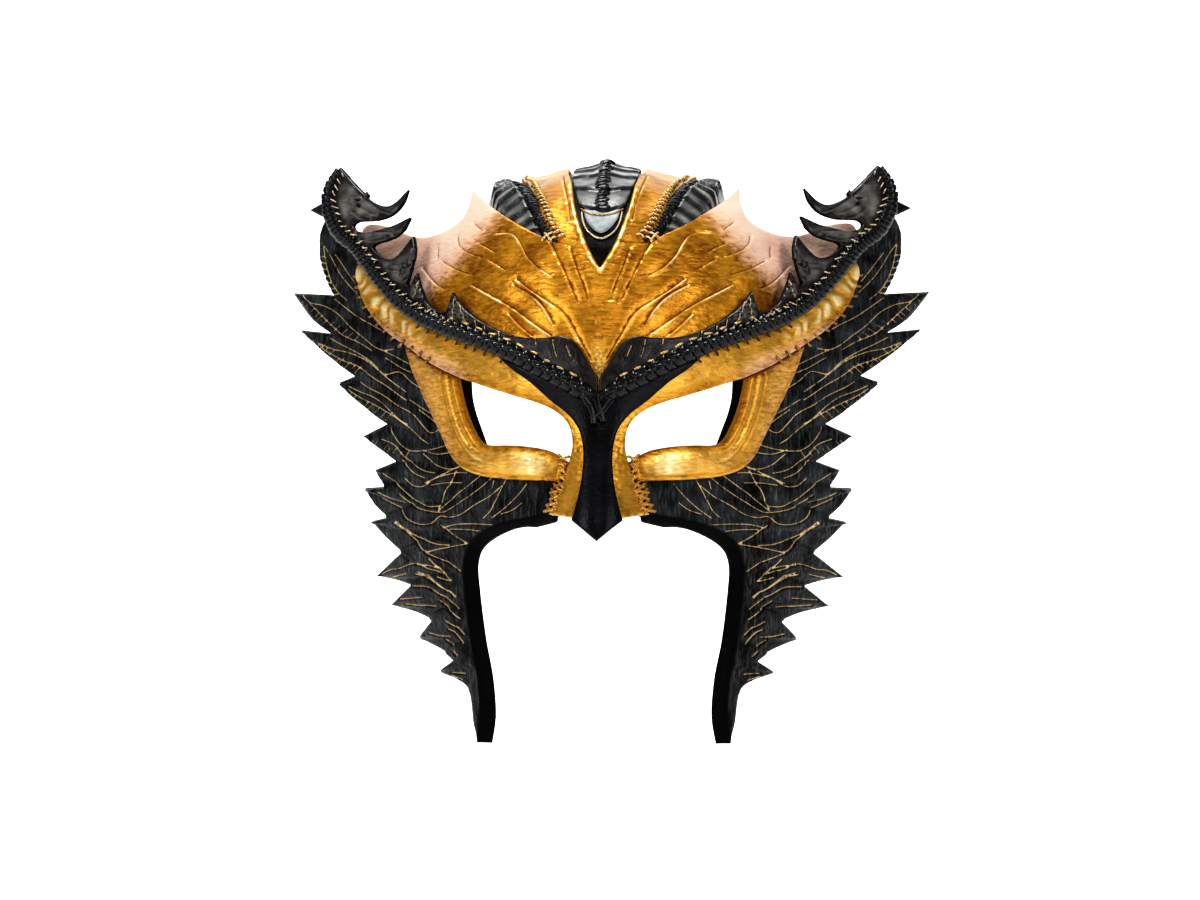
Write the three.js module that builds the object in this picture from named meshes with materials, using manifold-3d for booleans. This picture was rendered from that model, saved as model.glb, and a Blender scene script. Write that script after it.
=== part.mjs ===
// Leather bird-of-prey mask, in millimetres. +Z is up, the face looks along -Y and +X is to the
// viewer's right. The origin is the bridge of the nose, midway between the eyes, where it sits.
import * as THREE from "three";
import { mergeVertices } from "three/addons/utils/BufferGeometryUtils.js";
import Module from "manifold-3d";

const wasm = await Module();
wasm.setup();

// Driving dimensions.
const wall = 2.0;
const gap = 0.3;
const viewDistance = 1100;
const viewHeight = -9.4;
const ridgeHalfWidth = 3.4;
const ridgeRise = 3.2;
const ridgePitch = 6.0;
const featherRise = 0.9;
const rimRadius = 1.5;
const creaseWidth = 3.0;
const latticeX = { step: 2.6, growth: 0.2 };
const latticeZ = 9;
const facetTolerance = 0.2;
const templeSetback = 8;

// Layers, as heights of the outer and inner side of a wall above the form.
const lowLayer = { inner: 0, outer: wall };
const midLayer = { inner: wall + gap, outer: 2 * wall + gap };
const topLayer = { inner: 2 * (wall + gap), outer: 3 * wall + 2 * gap };

// Face form: a row for each level. front is the depth on the middle line, sweep the slope that the
// sides reach, round the width of the turn between them.
const faceRows = [
  { z: -125, front: -18, sweep: 2.3, round: 38, noseRise: 0, noseWidth: 14 },
  { z: -90, front: -13, sweep: 2.1, round: 42, noseRise: 0, noseWidth: 14 },
  { z: -62, front: -9, sweep: 1.8, round: 48, noseRise: 6, noseWidth: 14 },
  { z: -42, front: -6, sweep: 1.55, round: 53, noseRise: 19, noseWidth: 14 },
  { z: -20, front: -5, sweep: 1.4, round: 57, noseRise: 12, noseWidth: 12.5 },
  { z: 0, front: -4.5, sweep: 1.34, round: 60, noseRise: 4.5, noseWidth: 12 },
  { z: 20, front: -6, sweep: 1.3, round: 60, noseRise: 1.5, noseWidth: 13 },
  { z: 40, front: -5, sweep: 1.28, round: 60, noseRise: 0, noseWidth: 14 },
  { z: 60, front: -2, sweep: 1.26, round: 60, noseRise: 0, noseWidth: 14 },
  { z: 100, front: 8, sweep: 1.24, round: 60, noseRise: 0, noseWidth: 14 },
];

// Crown form: a row for each step along the middle line from the brow over the head. back and down
// are the shares of the side drop that go backwards and downwards.
const crownRows = [
  { step: 0, y: -6, z: 8, back: 1.3, down: 0, round: 60 },
  { step: 20, y: -6, z: 28, back: 1.3, down: 0, round: 60 },
  { step: 42, y: -1, z: 50, back: 1.28, down: 0.04, round: 61 },
  { step: 60, y: 7, z: 66, back: 1.25, down: 0.15, round: 62 },
  { step: 78, y: 19, z: 80, back: 1.1, down: 0.4, round: 63 },
  { step: 97, y: 35, z: 91, back: 0.9, down: 0.7, round: 64 },
  { step: 116, y: 54, z: 97.4, back: 0.65, down: 0.9, round: 66 },
  { step: 136, y: 74, z: 101, back: 0.45, down: 1.0, round: 68 },
  { step: 154, y: 92, z: 101.8, back: 0.35, down: 1.0, round: 70 },
  { step: 172, y: 110, z: 100.4, back: 0.35, down: 1.0, round: 70 },
];
const crownDrop = 18;
const crownDropWidth = 42;

// Line of the brow spine as seen from the front, from the middle to the tip of the horn. lean is how
// far the plate falls back for each millimetre that it stands above the spine.
const browLine = [
  { x: 0, z: 10.5, lean: 0 },
  { x: 20, z: 21, lean: 0 },
  { x: 36.5, z: 29, lean: 0 },
  { x: 53, z: 35, lean: -0.1 },
  { x: 68, z: 41, lean: -0.15 },
  { x: 79, z: 49, lean: 0 },
  { x: 87.5, z: 59, lean: 0.2 },
  { x: 94, z: 67, lean: 0.3 },
  { x: 101, z: 73, lean: 0.4 },
  { x: 105, z: 81.5, lean: 0.4 },
  { x: 105, z: 89, lean: 0.4 },
  { x: 101.5, z: 95.5, lean: 0.4 },
];

// Outlines as seen from the front. A row marked corner ends a curve; the rows between are smooth.
const browOutline = [
  { x: 0.2, z: 7.5, corner: true },
  { x: 20.5, z: 18.4 },
  { x: 37.5, z: 26.4 },
  { x: 54, z: 32.4 },
  { x: 69.5, z: 38.6 },
  { x: 81, z: 47.4 },
  { x: 89.8, z: 57.4 },
  { x: 96, z: 65 },
  { x: 103, z: 71 },
  { x: 107.4, z: 78, corner: true },
  { x: 113.5, z: 81, corner: true },
  { x: 107.8, z: 84, corner: true },
  { x: 107, z: 90.5 },
  { x: 101.5, z: 97, corner: true },
  { x: 96.5, z: 91.5 },
  { x: 90, z: 85.5 },
  { x: 84, z: 82.6 },
  { x: 79.5, z: 84 },
  { x: 74.8, z: 88.8, corner: true },
  { x: 77, z: 83.5 },
  { x: 81, z: 79.5 },
  { x: 87, z: 77.4 },
  { x: 94, z: 77 },
  { x: 96, z: 75 },
  { x: 93.5, z: 73 },
  { x: 88, z: 73.4 },
  { x: 81, z: 75 },
  { x: 73.8, z: 78.4, corner: true },
  { x: 76.5, z: 73.6 },
  { x: 81, z: 70.4 },
  { x: 87, z: 68.4 },
  { x: 88, z: 66.6 },
  { x: 84.5, z: 63.5 },
  { x: 80.5, z: 62.8 },
  { x: 77, z: 65.4 },
  { x: 72.4, z: 71.3, corner: true },
  { x: 71.6, z: 66 },
  { x: 73, z: 59 },
  { x: 74.6, z: 53.4 },
  { x: 73.4, z: 52.2 },
  { x: 70.8, z: 57.2, corner: true },
  { x: 69.2, z: 51.5 },
  { x: 66, z: 45 },
  { x: 60.5, z: 42.4 },
  { x: 58.4, z: 44.4 },
  { x: 56.8, z: 49.8, corner: true },
  { x: 53, z: 44.8 },
  { x: 48, z: 40.5 },
  { x: 42, z: 37 },
  { x: 35, z: 34.2 },
  { x: 28, z: 32.8 },
  { x: 21, z: 32.8 },
  { x: 14.5, z: 33.4 },
  { x: 9.6, z: 31.6 },
  { x: 5.4, z: 26.6 },
  { x: 0.2, z: 18.6, corner: true },
];
const beakOutline = [
  { x: 0, z: 5.2, corner: true },
  { x: 10, z: 10.4 },
  { x: 21, z: 16.1 },
  { x: 30, z: 20.8 },
  { x: 37.5, z: 24.2, corner: true },
  { x: 33, z: 20.4 },
  { x: 26.5, z: 16 },
  { x: 18.5, z: 9 },
  { x: 12, z: 4 },
  { x: 8, z: -1 },
  { x: 6.3, z: -6 },
  { x: 5.8, z: -12 },
  { x: 6.4, z: -20 },
  { x: 8, z: -28 },
  { x: 10.2, z: -35.8, corner: true },
  { x: 5.5, z: -39.4 },
  { x: 0, z: -43.8, corner: true },
];
const eyelidOutline = [
  { x: 5.2, z: 7.5, corner: true },
  { x: 20.6, z: 19.6 },
  { x: 37, z: 27.7 },
  { x: 53.4, z: 33.7 },
  { x: 68.6, z: 39.7 },
  { x: 80, z: 48 },
  { x: 88.5, z: 58 },
  { x: 93, z: 63.5, corner: true },
  { x: 94.5, z: 56 },
  { x: 92.5, z: 48 },
  { x: 88.5, z: 41 },
  { x: 83, z: 35.4 },
  { x: 76.5, z: 30.6 },
  { x: 69.5, z: 25.8 },
  { x: 63, z: 21.8 },
  { x: 55, z: 18 },
  { x: 49, z: 16 },
  { x: 41.5, z: 13.5 },
  { x: 31.5, z: 10.5 },
  { x: 20, z: 6.8 },
  { x: 13.5, z: 2.4 },
  { x: 10.8, z: -2.4 },
  { x: 10.3, z: -8 },
  { x: 11.6, z: -13 },
  { x: 13.2, z: -19 },
  { x: 15.6, z: -25.6 },
  { x: 19.2, z: -33.6, corner: true },
  { x: 8.4, z: -35, corner: true },
  { x: 5.8, z: -28 },
  { x: 4.4, z: -20 },
  { x: 3.8, z: -12 },
  { x: 3.9, z: -5 },
  { x: 5.2, z: 7.5, corner: true },
];
const eyeFrameOutline = [
  { x: 75.5, z: 29.2, corner: true },
  { x: 71.5, z: 18 },
  { x: 66.5, z: 7 },
  { x: 62, z: -2.5 },
  { x: 57.5, z: -11.5 },
  { x: 53, z: -16.2 },
  { x: 46.5, z: -19 },
  { x: 38, z: -20.2 },
  { x: 29, z: -20.8 },
  { x: 18, z: -20.8 },
  { x: 14.4, z: -20.4, corner: true },
  { x: 12.4, z: -13.6, corner: true },
  { x: 19, z: -9.8 },
  { x: 27, z: -8.2 },
  { x: 36, z: -7.6 },
  { x: 43, z: -7.6 },
  { x: 46.4, z: -5.8 },
  { x: 49.2, z: -1 },
  { x: 51.6, z: 5 },
  { x: 53.2, z: 11 },
  { x: 54.4, z: 17.2, corner: true },
  { x: 63, z: 21.1 },
  { x: 69.5, z: 25.1 },
  { x: 75.5, z: 29.2, corner: true },
];
const foreheadOutline = [
  { x: 0, z: 13.5, corner: true },
  { x: 19.2, z: 23 },
  { x: 36, z: 31 },
  { x: 52.4, z: 37 },
  { x: 67, z: 42.8 },
  { x: 77.6, z: 50.6 },
  { x: 86, z: 60.4 },
  { x: 91.5, z: 67, corner: true },
  { x: 93.5, z: 71 },
  { x: 91.5, z: 75 },
  { x: 85, z: 75.4 },
  { x: 77, z: 72.4 },
  { x: 69.5, z: 70.6 },
  { x: 61.5, z: 72.6 },
  { x: 54, z: 77 },
  { x: 51, z: 82 },
  { x: 50.4, z: 87.4, corner: true },
  { x: 44, z: 82.6 },
  { x: 33, z: 76 },
  { x: 19.4, z: 69.4, corner: true },
  { x: 22, z: 77 },
  { x: 26, z: 86 },
  { x: 31, z: 94 },
  { x: 33.5, z: 98, corner: true },
  { x: 33.5, z: 118, corner: true },
  { x: 13.5, z: 118, corner: true },
  { x: 13.5, z: 98, corner: true },
  { x: 11.6, z: 92 },
  { x: 6.6, z: 76 },
  { x: 0, z: 59, corner: true },
];
const wingOutline = [
  { x: 99, z: 68, corner: true },
  { x: 109, z: 72, corner: true },
  { x: 107.6, z: 60 },
  { x: 104, z: 48.6, corner: true },
  { x: 120, z: 49.8, corner: true },
  { x: 112.6, z: 40 },
  { x: 104.4, z: 34.4, corner: true },
  { x: 117, z: 35.8, corner: true },
  { x: 104, z: 25 },
  { x: 95, z: 18.4, corner: true },
  { x: 102, z: 16, corner: true },
  { x: 90, z: 6 },
  { x: 82.5, z: 0.4, corner: true },
  { x: 92, z: -4, corner: true },
  { x: 85, z: -9 },
  { x: 79, z: -13.6, corner: true },
  { x: 88, z: -17, corner: true },
  { x: 83.6, z: -23.6, corner: true },
  { x: 92, z: -24, corner: true },
  { x: 88, z: -30 },
  { x: 83, z: -35, corner: true },
  { x: 89.5, z: -36.5, corner: true },
  { x: 83, z: -43 },
  { x: 77.4, z: -48, corner: true },
  { x: 88, z: -57, corner: true },
  { x: 80, z: -58.6 },
  { x: 74, z: -60.4, corner: true },
  { x: 83, z: -68, corner: true },
  { x: 73, z: -70.4 },
  { x: 65.6, z: -73.6, corner: true },
  { x: 71.5, z: -80.5, corner: true },
  { x: 63, z: -84 },
  { x: 57, z: -88.4, corner: true },
  { x: 63.5, z: -93, corner: true },
  { x: 56, z: -95.6 },
  { x: 51.6, z: -99.6 },
  { x: 50, z: -108 },
  { x: 48, z: -119.6, corner: true },
  { x: 41.6, z: -119.8, corner: true },
  { x: 40, z: -109 },
  { x: 41, z: -95 },
  { x: 43.8, z: -80 },
  { x: 46, z: -62 },
  { x: 46.4, z: -52 },
  { x: 43.4, z: -45.6 },
  { x: 33.6, z: -40 },
  { x: 18.6, z: -35.6, corner: true },
  { x: 14.8, z: -27.6 },
  { x: 15.2, z: -18.6, corner: true },
  { x: 30, z: -17 },
  { x: 45, z: -15.4 },
  { x: 54, z: -9.5 },
  { x: 61.5, z: 5 },
  { x: 67.5, z: 18 },
  { x: 75.5, z: 25 },
  { x: 86, z: 36.4 },
  { x: 91, z: 48 },
  { x: 99, z: 68, corner: true },
];

// Mouth edge of the wing from the nose to the jaw. width is how far back from the edge the leather is
// folded in, turn the depth that it gains for each millimetre of that.
const mouthEdge = [
  { x: 16.5, z: -35, width: 1.5, turn: 0.8 },
  { x: 33.6, z: -40, width: 4, turn: 1.0 },
  { x: 43.4, z: -45.6, width: 5.5, turn: 1.5 },
  { x: 46.4, z: -52, width: 6.2, turn: 1.9 },
  { x: 46, z: -62, width: 6.4, turn: 2.1 },
  { x: 43.8, z: -80, width: 6.4, turn: 2.3 },
  { x: 41, z: -95, width: 6.4, turn: 2.4 },
  { x: 40, z: -109, width: 6.8, turn: 2.4 },
  { x: 41.6, z: -120, width: 6.8, turn: 2.4 },
];

// Tooled feathers of the wing: root and tip of the quill as seen from the front and the half width.
const feathers = [
  { rootX: 80, rootZ: 27, tipX: 117.6, tipZ: 48.8, half: 5.6 },
  { rootX: 75, rootZ: 15, tipX: 114.4, tipZ: 34.8, half: 7.2 },
  { rootX: 69, rootZ: 1, tipX: 100.4, tipZ: 15, half: 7.0 },
  { rootX: 63, rootZ: -11, tipX: 90.4, tipZ: -4.4, half: 5.6 },
  { rootX: 57, rootZ: -20, tipX: 86.6, tipZ: -17, half: 3.9 },
  { rootX: 47, rootZ: -26, tipX: 90, tipZ: -24.6, half: 3.6 },
  { rootX: 30, rootZ: -30, tipX: 87.8, tipZ: -36.6, half: 5.0 },
  { rootX: 53, rootZ: -44, tipX: 86, tipZ: -56.2, half: 5.6 },
  { rootX: 54, rootZ: -57, tipX: 81, tipZ: -67.4, half: 4.6 },
  { rootX: 52, rootZ: -69, tipX: 70, tipZ: -79.6, half: 4.4 },
  { rootX: 51, rootZ: -82, tipX: 62, tipZ: -92, half: 3.8 },
];
const featherProfile = [
  { along: 0, share: 0.16 },
  { along: 0.25, share: 0.72 },
  { along: 0.55, share: 1.0 },
  { along: 0.8, share: 0.66 },
  { along: 1, share: 0.08 },
];

// Strip down the middle of the crown: half width and height of the crest at each step.
const stripRows = [
  { step: 50, half: 7 },
  { step: 75, half: 9 },
  { step: 105, half: 13.5 },
  { step: 135, half: 17 },
  { step: 172, half: 17 },
];
const crestRows = [
  { step: 92, half: 3.5 },
  { step: 96, half: 6.5 },
  { step: 108, half: 8.6 },
  { step: 135, half: 10.6 },
  { step: 170, half: 10.6 },
];
const crestPleat = { pitch: 13, rise: 1.0 };
const crestWall = 1.4;
const crestSeam = { halfWidth: 2.6, rise: 1.2 };
const scaleRows = [
  { step: 70, half: 0.8 },
  { step: 74, half: 3.4 },
  { step: 80, half: 5.4 },
  { step: 90, half: 6.4 },
];
const sideRows = [
  { step: 58, inner: 13, outer: 34 },
  { step: 76, inner: 16.5, outer: 41 },
  { step: 100, inner: 20, outer: 45.5 },
  { step: 120, inner: 23, outer: 47 },
  { step: 150, inner: 25, outer: 47 },
  { step: 170, inner: 25, outer: 45 },
];
const sidePleat = { pitch: 11, rise: 1.0, slant: 0.45 };
const sidePuff = 6.5;
const foreheadReach = [
  { step: 0, half: 98 },
  { step: 97, half: 98 },
  { step: 110, half: 76 },
  { step: 124, half: 60 },
  { step: 136, half: 40 },
  { step: 172, half: 38 },
];

// Value of a column of a table, on a smooth curve through its rows.
function along(rows, key, at, column) {
  const last = rows.length - 1;
  if (at <= rows[0][key]) return rows[0][column];
  if (at >= rows[last][key]) return rows[last][column];
  let i = 0;
  while (rows[i + 1][key] < at) i += 1;
  const slopeAt = (j) => {
    const before = rows[Math.max(j - 1, 0)];
    const after = rows[Math.min(j + 1, last)];
    return (after[column] - before[column]) / (after[key] - before[key]);
  };
  const span = rows[i + 1][key] - rows[i][key];
  const s = (at - rows[i][key]) / span;
  const start = rows[i][column] * (1 + 2 * s) * (1 - s) ** 2;
  const end = rows[i + 1][column] * s * s * (3 - 2 * s);
  const bend = slopeAt(i) * s * (1 - s) ** 2 - slopeAt(i + 1) * s * s * (1 - s);
  return start + end + bend * span;
}

function ramp(from, to, at) {
  const s = Math.min(Math.max((at - from) / (to - from), 0), 1);
  return s * s * (3 - 2 * s);
}

// Depth of the face form.
function faceDepth(x, z) {
  const round = along(faceRows, "z", z, "round");
  const side = along(faceRows, "z", z, "sweep") * (Math.hypot(x, round) - round);
  const nose = along(faceRows, "z", z, "noseRise")
    * Math.exp(-((x / along(faceRows, "z", z, "noseWidth")) ** 2));
  return along(faceRows, "z", z, "front") + side - nose;
}

// Point of the crown form. flare lifts the sides away from the head.
function crownPoint(x, step, flare) {
  const round = along(crownRows, "step", step, "round");
  const back = along(crownRows, "step", step, "back") * (Math.hypot(x, round) - round);
  const kept = 1 - flare * ramp(20, 44, Math.abs(x));
  const drop = crownDrop * (1 - Math.exp(-((x / crownDropWidth) ** 2))) * kept;
  const temple = templeSetback * ramp(52, 84, Math.abs(x));
  const y = along(crownRows, "step", step, "y") + back + temple;
  const z = along(crownRows, "step", step, "z") - along(crownRows, "step", step, "down") * drop;
  return new THREE.Vector3(x, y, z);
}

// Point at a height above a surface that is given as a function of two values.
function raised(surface, a, b, height) {
  const small = 0.4;
  const acrossA = surface(a + small, b).sub(surface(a - small, b));
  const acrossB = surface(a, b + small).sub(surface(a, b - small));
  const normal = acrossA.cross(acrossB).normalize();
  return surface(a, b).addScaledVector(normal, height);
}

const faceSurface = (x, z) => new THREE.Vector3(x, faceDepth(x, z), z);

// Point at a height above a surface of the face that is seen at x and z from the front.
function seenPlace(surface, x, z, height) {
  let a = x;
  let b = z;
  for (let turn = 0; turn < 8; turn += 1) {
    const point = raised(surface, a, b, height);
    const scale = 1 + point.y / viewDistance;
    a += x * scale - point.x;
    b += viewHeight + (z - viewHeight) * scale - point.z;
  }
  return raised(surface, a, b, height);
}

// Nearest point of a line that is given by rows of x and z, as distance, row number and side.
function nearest(rows, x, z) {
  let best = { distance: Infinity };
  for (let i = 0; i + 1 < rows.length; i += 1) {
    const dx = rows[i + 1].x - rows[i].x;
    const dz = rows[i + 1].z - rows[i].z;
    const s = Math.min(Math.max(((x - rows[i].x) * dx + (z - rows[i].z) * dz) / (dx * dx + dz * dz), 0), 1);
    const offX = x - rows[i].x - s * dx;
    const offZ = z - rows[i].z - s * dz;
    const distance = Math.hypot(offX, offZ);
    if (distance < best.distance) best = { distance, i, s, above: dx * offZ - dz * offX };
  }
  return best;
}

function between(rows, found, column) {
  return rows[found.i][column] * (1 - found.s) + rows[found.i + 1][column] * found.s;
}

// Wing surface: the face form with the leather folded in along the mouth.
function wingSurface(x, z) {
  const scale = 1 + faceDepth(x, z) / viewDistance;
  const found = nearest(mouthEdge, x / scale, viewHeight + (z - viewHeight) / scale);
  const inside = Math.max(between(mouthEdge, found, "width") - found.distance, 0);
  const soft = (inside * inside) / (inside + creaseWidth / 3);
  return new THREE.Vector3(x, faceDepth(x, z) + soft * between(mouthEdge, found, "turn"), z);
}

// Brow surface: the face form, leaning above the spine.
function browSurface(x, z) {
  const scale = 1 + faceDepth(x, z) / viewDistance;
  const found = nearest(browLine, x / scale, viewHeight + (z - viewHeight) / scale);
  const above = found.above > 0 ? Math.max(found.distance - ridgeHalfWidth, 0) : 0;
  return new THREE.Vector3(x, faceDepth(x, z) + above * between(browLine, found, "lean"), z);
}

function solid(geometry) {
  geometry.deleteAttribute("normal");
  geometry.deleteAttribute("uv");
  const merged = mergeVertices(geometry, 1e-4);
  return new wasm.Manifold(new wasm.Mesh({
    numProp: 3,
    vertProperties: merged.attributes.position.array,
    triVerts: new Uint32Array(merged.index.array),
  }));
}

function reshape(geometry, move) {
  const positions = geometry.attributes.position;
  for (let i = 0; i < positions.count; i += 1) {
    const moved = move(new THREE.Vector3().fromBufferAttribute(positions, i));
    positions.setXYZ(i, moved.x, moved.y, moved.z);
  }
  return geometry;
}

// Moulded sheet of leather over a part of the face. All sheets share the lines of one lattice, which
// is close at the nose, so that layers lie evenly on each other.
function faceSheet(surface, layer, area) {
  const columns = area.toColumn - area.fromColumn;
  const rows = area.toRow - area.fromRow;
  const box = new THREE.BoxGeometry(columns, 1, rows, columns, 1, rows);
  return solid(reshape(box, (p) => {
    const column = Math.round(p.x + columns / 2) + area.fromColumn;
    const row = Math.round(p.z + rows / 2) + area.fromRow;
    const x = column * (latticeX.step + latticeX.growth * Math.abs(column));
    return raised(surface, x, row * latticeZ, p.y < 0 ? layer.outer : layer.inner);
  }));
}

// Moulded sheet over the crown between two sides that change with the step.
function crownSheet({ from, to, columns, steps, sides, flare, outer, inner }) {
  const box = new THREE.BoxGeometry(1, 1, 1, columns, 1, steps);
  return solid(reshape(box, (p) => {
    const step = from + (p.z + 0.5) * (to - from);
    const [left, right] = sides(step);
    const x = left + (p.x + 0.5) * (right - left);
    const surface = (a, b) => crownPoint(a, b, flare);
    return raised(surface, x, step, p.y < 0 ? outer(x, step) : inner(x, step));
  }));
}

// Outline drawn from rows, smooth between corners.
function outlineShape(rows, mirrored) {
  const points = [];
  let run = [];
  const flush = () => {
    if (run.length === 2) points.push(run[0]);
    if (run.length > 2) points.push(...new THREE.SplineCurve(run).getPoints((run.length - 1) * 2).slice(0, -1));
    run = run.slice(-1);
  };
  for (const row of rows) {
    run.push(new THREE.Vector2(row.x, row.z));
    if (row.corner) flush();
  }
  points.push(...run);
  if (mirrored) {
    const other = points.filter((p) => p.x > 0.05).map((p) => new THREE.Vector2(-p.x, p.y)).reverse();
    return new THREE.Shape([...points, ...other]);
  }
  if (points[0].distanceTo(points[points.length - 1]) < 0.01) points.pop();
  return new THREE.Shape(points);
}

// Cutter through a sheet: the outline carried back along the lines of sight.
function cutter(rows, mirrored) {
  const near = -70;
  const far = 150;
  const prism = new THREE.ExtrudeGeometry(outlineShape(rows, mirrored), { depth: far - near, bevelEnabled: false });
  return solid(reshape(prism, (p) => {
    const y = far - p.z;
    const scale = 1 + y / viewDistance;
    return new THREE.Vector3(p.x * scale, y, viewHeight + (p.y - viewHeight) * scale);
  }));
}

// Bar laid on a surface along a line of points: half width and height of its section by place.
function bar(places, { sides, section }) {
  const tube = new THREE.CylinderGeometry(1, 1, 1, sides, places.length - 1);
  return solid(reshape(tube, (p) => {
    const i = Math.round((p.y + 0.5) * (places.length - 1));
    const before = places[Math.max(i - 1, 0)];
    const after = places[Math.min(i + 1, places.length - 1)];
    const run = after.point.clone().sub(before.point).normalize();
    const across = run.clone().cross(places[i].normal).normalize();
    const { half, rise, sink } = section(i / (places.length - 1), i);
    const up = p.z > 0 ? p.z * rise : p.z * sink;
    return places[i].point.clone().addScaledVector(across, p.x * half).addScaledVector(places[i].normal, up);
  }));
}

function placesAlong(surface, line, count, height) {
  const curve = new THREE.SplineCurve(line.map((row) => new THREE.Vector2(row.x, row.z)));
  return curve.getSpacedPoints(count).map((p) => {
    const point = seenPlace(surface, p.x, p.y, height);
    const normal = seenPlace(surface, p.x, p.y, height + 1).sub(point).normalize();
    return { point, normal };
  });
}

function featherBar(row) {
  const line = [
    { x: row.rootX, z: row.rootZ },
    { x: (row.rootX + row.tipX) / 2, z: (row.rootZ + row.tipZ) / 2 },
    { x: row.tipX, z: row.tipZ },
  ];
  const section = (share) => ({
    half: row.half * along(featherProfile, "along", share, "share"),
    rise: featherRise,
    sink: wall * 0.6,
  });
  return bar(placesAlong(wingSurface, line, 4, wall - 0.15), { sides: 4, section });
}

function makeWing() {
  const area = { fromColumn: 3, toColumn: 22, fromRow: -15, toRow: 9 };
  let wing = faceSheet(wingSurface, lowLayer, area).intersect(cutter(wingOutline));
  const relief = feathers.map(featherBar);
  for (const feather of relief) wing = wing.add(feather);
  return wing.intersect(cutter(wingOutline));
}

function makeBrow() {
  const area = { fromColumn: -1, toColumn: 22, fromRow: 0, toRow: 13 };
  const plate = faceSheet(browSurface, topLayer, area).intersect(cutter(browOutline));
  const count = 2 * Math.round(150 / ridgePitch);
  const places = placesAlong(faceSurface, browLine, count, topLayer.inner + 0.9);
  const section = (share, i) => {
    const taper = Math.min(1, 0.35 + share * 9, 0.35 + (1 - share) * 5);
    const knuckle = i % 2 === 0 ? 0.86 : 1;
    return { half: ridgeHalfWidth * taper * knuckle, rise: ridgeRise * taper * knuckle + 0.8, sink: 0.8 };
  };
  const spine = bar(places, { sides: 6, section });
  const half = new THREE.BoxGeometry(140, 260, 160).translate(70.15, 40, 50);
  return plate.add(spine).intersect(solid(half));
}

function makeBeak() {
  const area = { fromColumn: -11, toColumn: 11, fromRow: -6, toRow: 4 };
  return faceSheet(faceSurface, topLayer, area).intersect(cutter(beakOutline, true));
}

function makeEyelid() {
  const area = { fromColumn: 0, toColumn: 19, fromRow: -5, toRow: 9 };
  return faceSheet(faceSurface, midLayer, area).intersect(cutter(eyelidOutline));
}

function makeEyeFrame() {
  const area = { fromColumn: 2, toColumn: 17, fromRow: -4, toRow: 4 };
  const frame = faceSheet(faceSurface, midLayer, area).intersect(cutter(eyeFrameOutline));
  const rimLine = [
    { x: 56, z: 16.4 },
    { x: 54.8, z: 10 },
    { x: 53, z: 4 },
    { x: 50.4, z: -2.2 },
    { x: 47.2, z: -7.2 },
    { x: 43, z: -9.2 },
    { x: 36, z: -9.3 },
    { x: 27, z: -9.9 },
    { x: 19.4, z: -11.5 },
    { x: 15.4, z: -13.8 },
  ];
  const section = () => ({ half: rimRadius, rise: rimRadius, sink: rimRadius });
  return frame.add(bar(placesAlong(faceSurface, rimLine, 22, midLayer.outer - 0.4), { sides: 6, section }));
}

function makeForehead() {
  const sheet = crownSheet({
    from: 0,
    to: 172,
    columns: 22,
    steps: 19,
    sides: (step) => {
      const half = along(foreheadReach, "step", step, "half");
      return [-half, half];
    },
    flare: 0.66,
    outer: (x, step) => midLayer.outer + gap * ramp(40, 60, step),
    inner: (x, step) => midLayer.inner + gap * ramp(40, 60, step),
  });
  return sheet.intersect(cutter(foreheadOutline, true));
}

function makeStrip() {
  return crownSheet({
    from: 50,
    to: 172,
    columns: 4,
    steps: 16,
    sides: (step) => {
      const half = along(stripRows, "step", step, "half");
      return [-half, half];
    },
    flare: 0,
    outer: () => lowLayer.outer,
    inner: () => lowLayer.inner,
  });
}

function makeCrest() {
  const outer = (x, step) => {
    const pleat = crestPleat.rise * (1 - (((step - 92) / crestPleat.pitch) % 1));
    const seam = crestSeam.rise * Math.max(0, 1 - Math.abs(x) / crestSeam.halfWidth);
    return midLayer.inner + crestWall + pleat * Math.max(0, 1 - (x / 12) ** 2) + seam;
  };
  return crownSheet({
    from: 92,
    to: 170,
    columns: 8,
    steps: 18,
    sides: (step) => {
      const half = along(crestRows, "step", step, "half");
      return [-half, half];
    },
    flare: 0,
    outer,
    inner: () => midLayer.inner,
  });
}

function makeScale() {
  return crownSheet({
    from: 70,
    to: 91,
    columns: 6,
    steps: 6,
    sides: (step) => {
      const half = along(scaleRows, "step", step, "half");
      return [-half, half];
    },
    flare: 0,
    outer: () => midLayer.outer,
    inner: () => midLayer.inner,
  });
}

function makeCrownSide() {
  const outer = (x, step) => {
    const inner = along(sideRows, "step", step, "inner");
    const across = (x - inner) / (along(sideRows, "step", step, "outer") - inner);
    const free = ramp(0.42, 0.6, across) * ramp(1.02, 0.78, across) * ramp(86, 112, step);
    const wave = 0.5 + 0.5 * Math.sin(((step - x * sidePleat.slant) / sidePleat.pitch) * 2 * Math.PI);
    return wall + free * (sidePuff + sidePleat.rise * wave);
  };
  return crownSheet({
    from: 58,
    to: 170,
    columns: 8,
    steps: 20,
    sides: (step) => [along(sideRows, "step", step, "inner"), along(sideRows, "step", step, "outer")],
    flare: 0,
    outer,
    inner: () => lowLayer.inner,
  });
}

const blackLeather = new THREE.MeshStandardMaterial({ color: "#24262a", roughness: 0.5, metalness: 0 });
const greyLeather = new THREE.MeshStandardMaterial({ color: "#8f9497", roughness: 0.45, metalness: 0 });
const goldLeather = new THREE.MeshStandardMaterial({ color: "#c8963c", roughness: 0.45, metalness: 0.2 });

function toGeometry(body) {
  const mesh = body.asOriginal().simplify(facetTolerance).getMesh();
  const geometry = new THREE.BufferGeometry();
  geometry.setAttribute("position", new THREE.BufferAttribute(mesh.vertProperties, 3));
  geometry.setIndex(new THREE.BufferAttribute(mesh.triVerts, 1));
  geometry.computeVertexNormals();
  return geometry;
}

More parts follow.
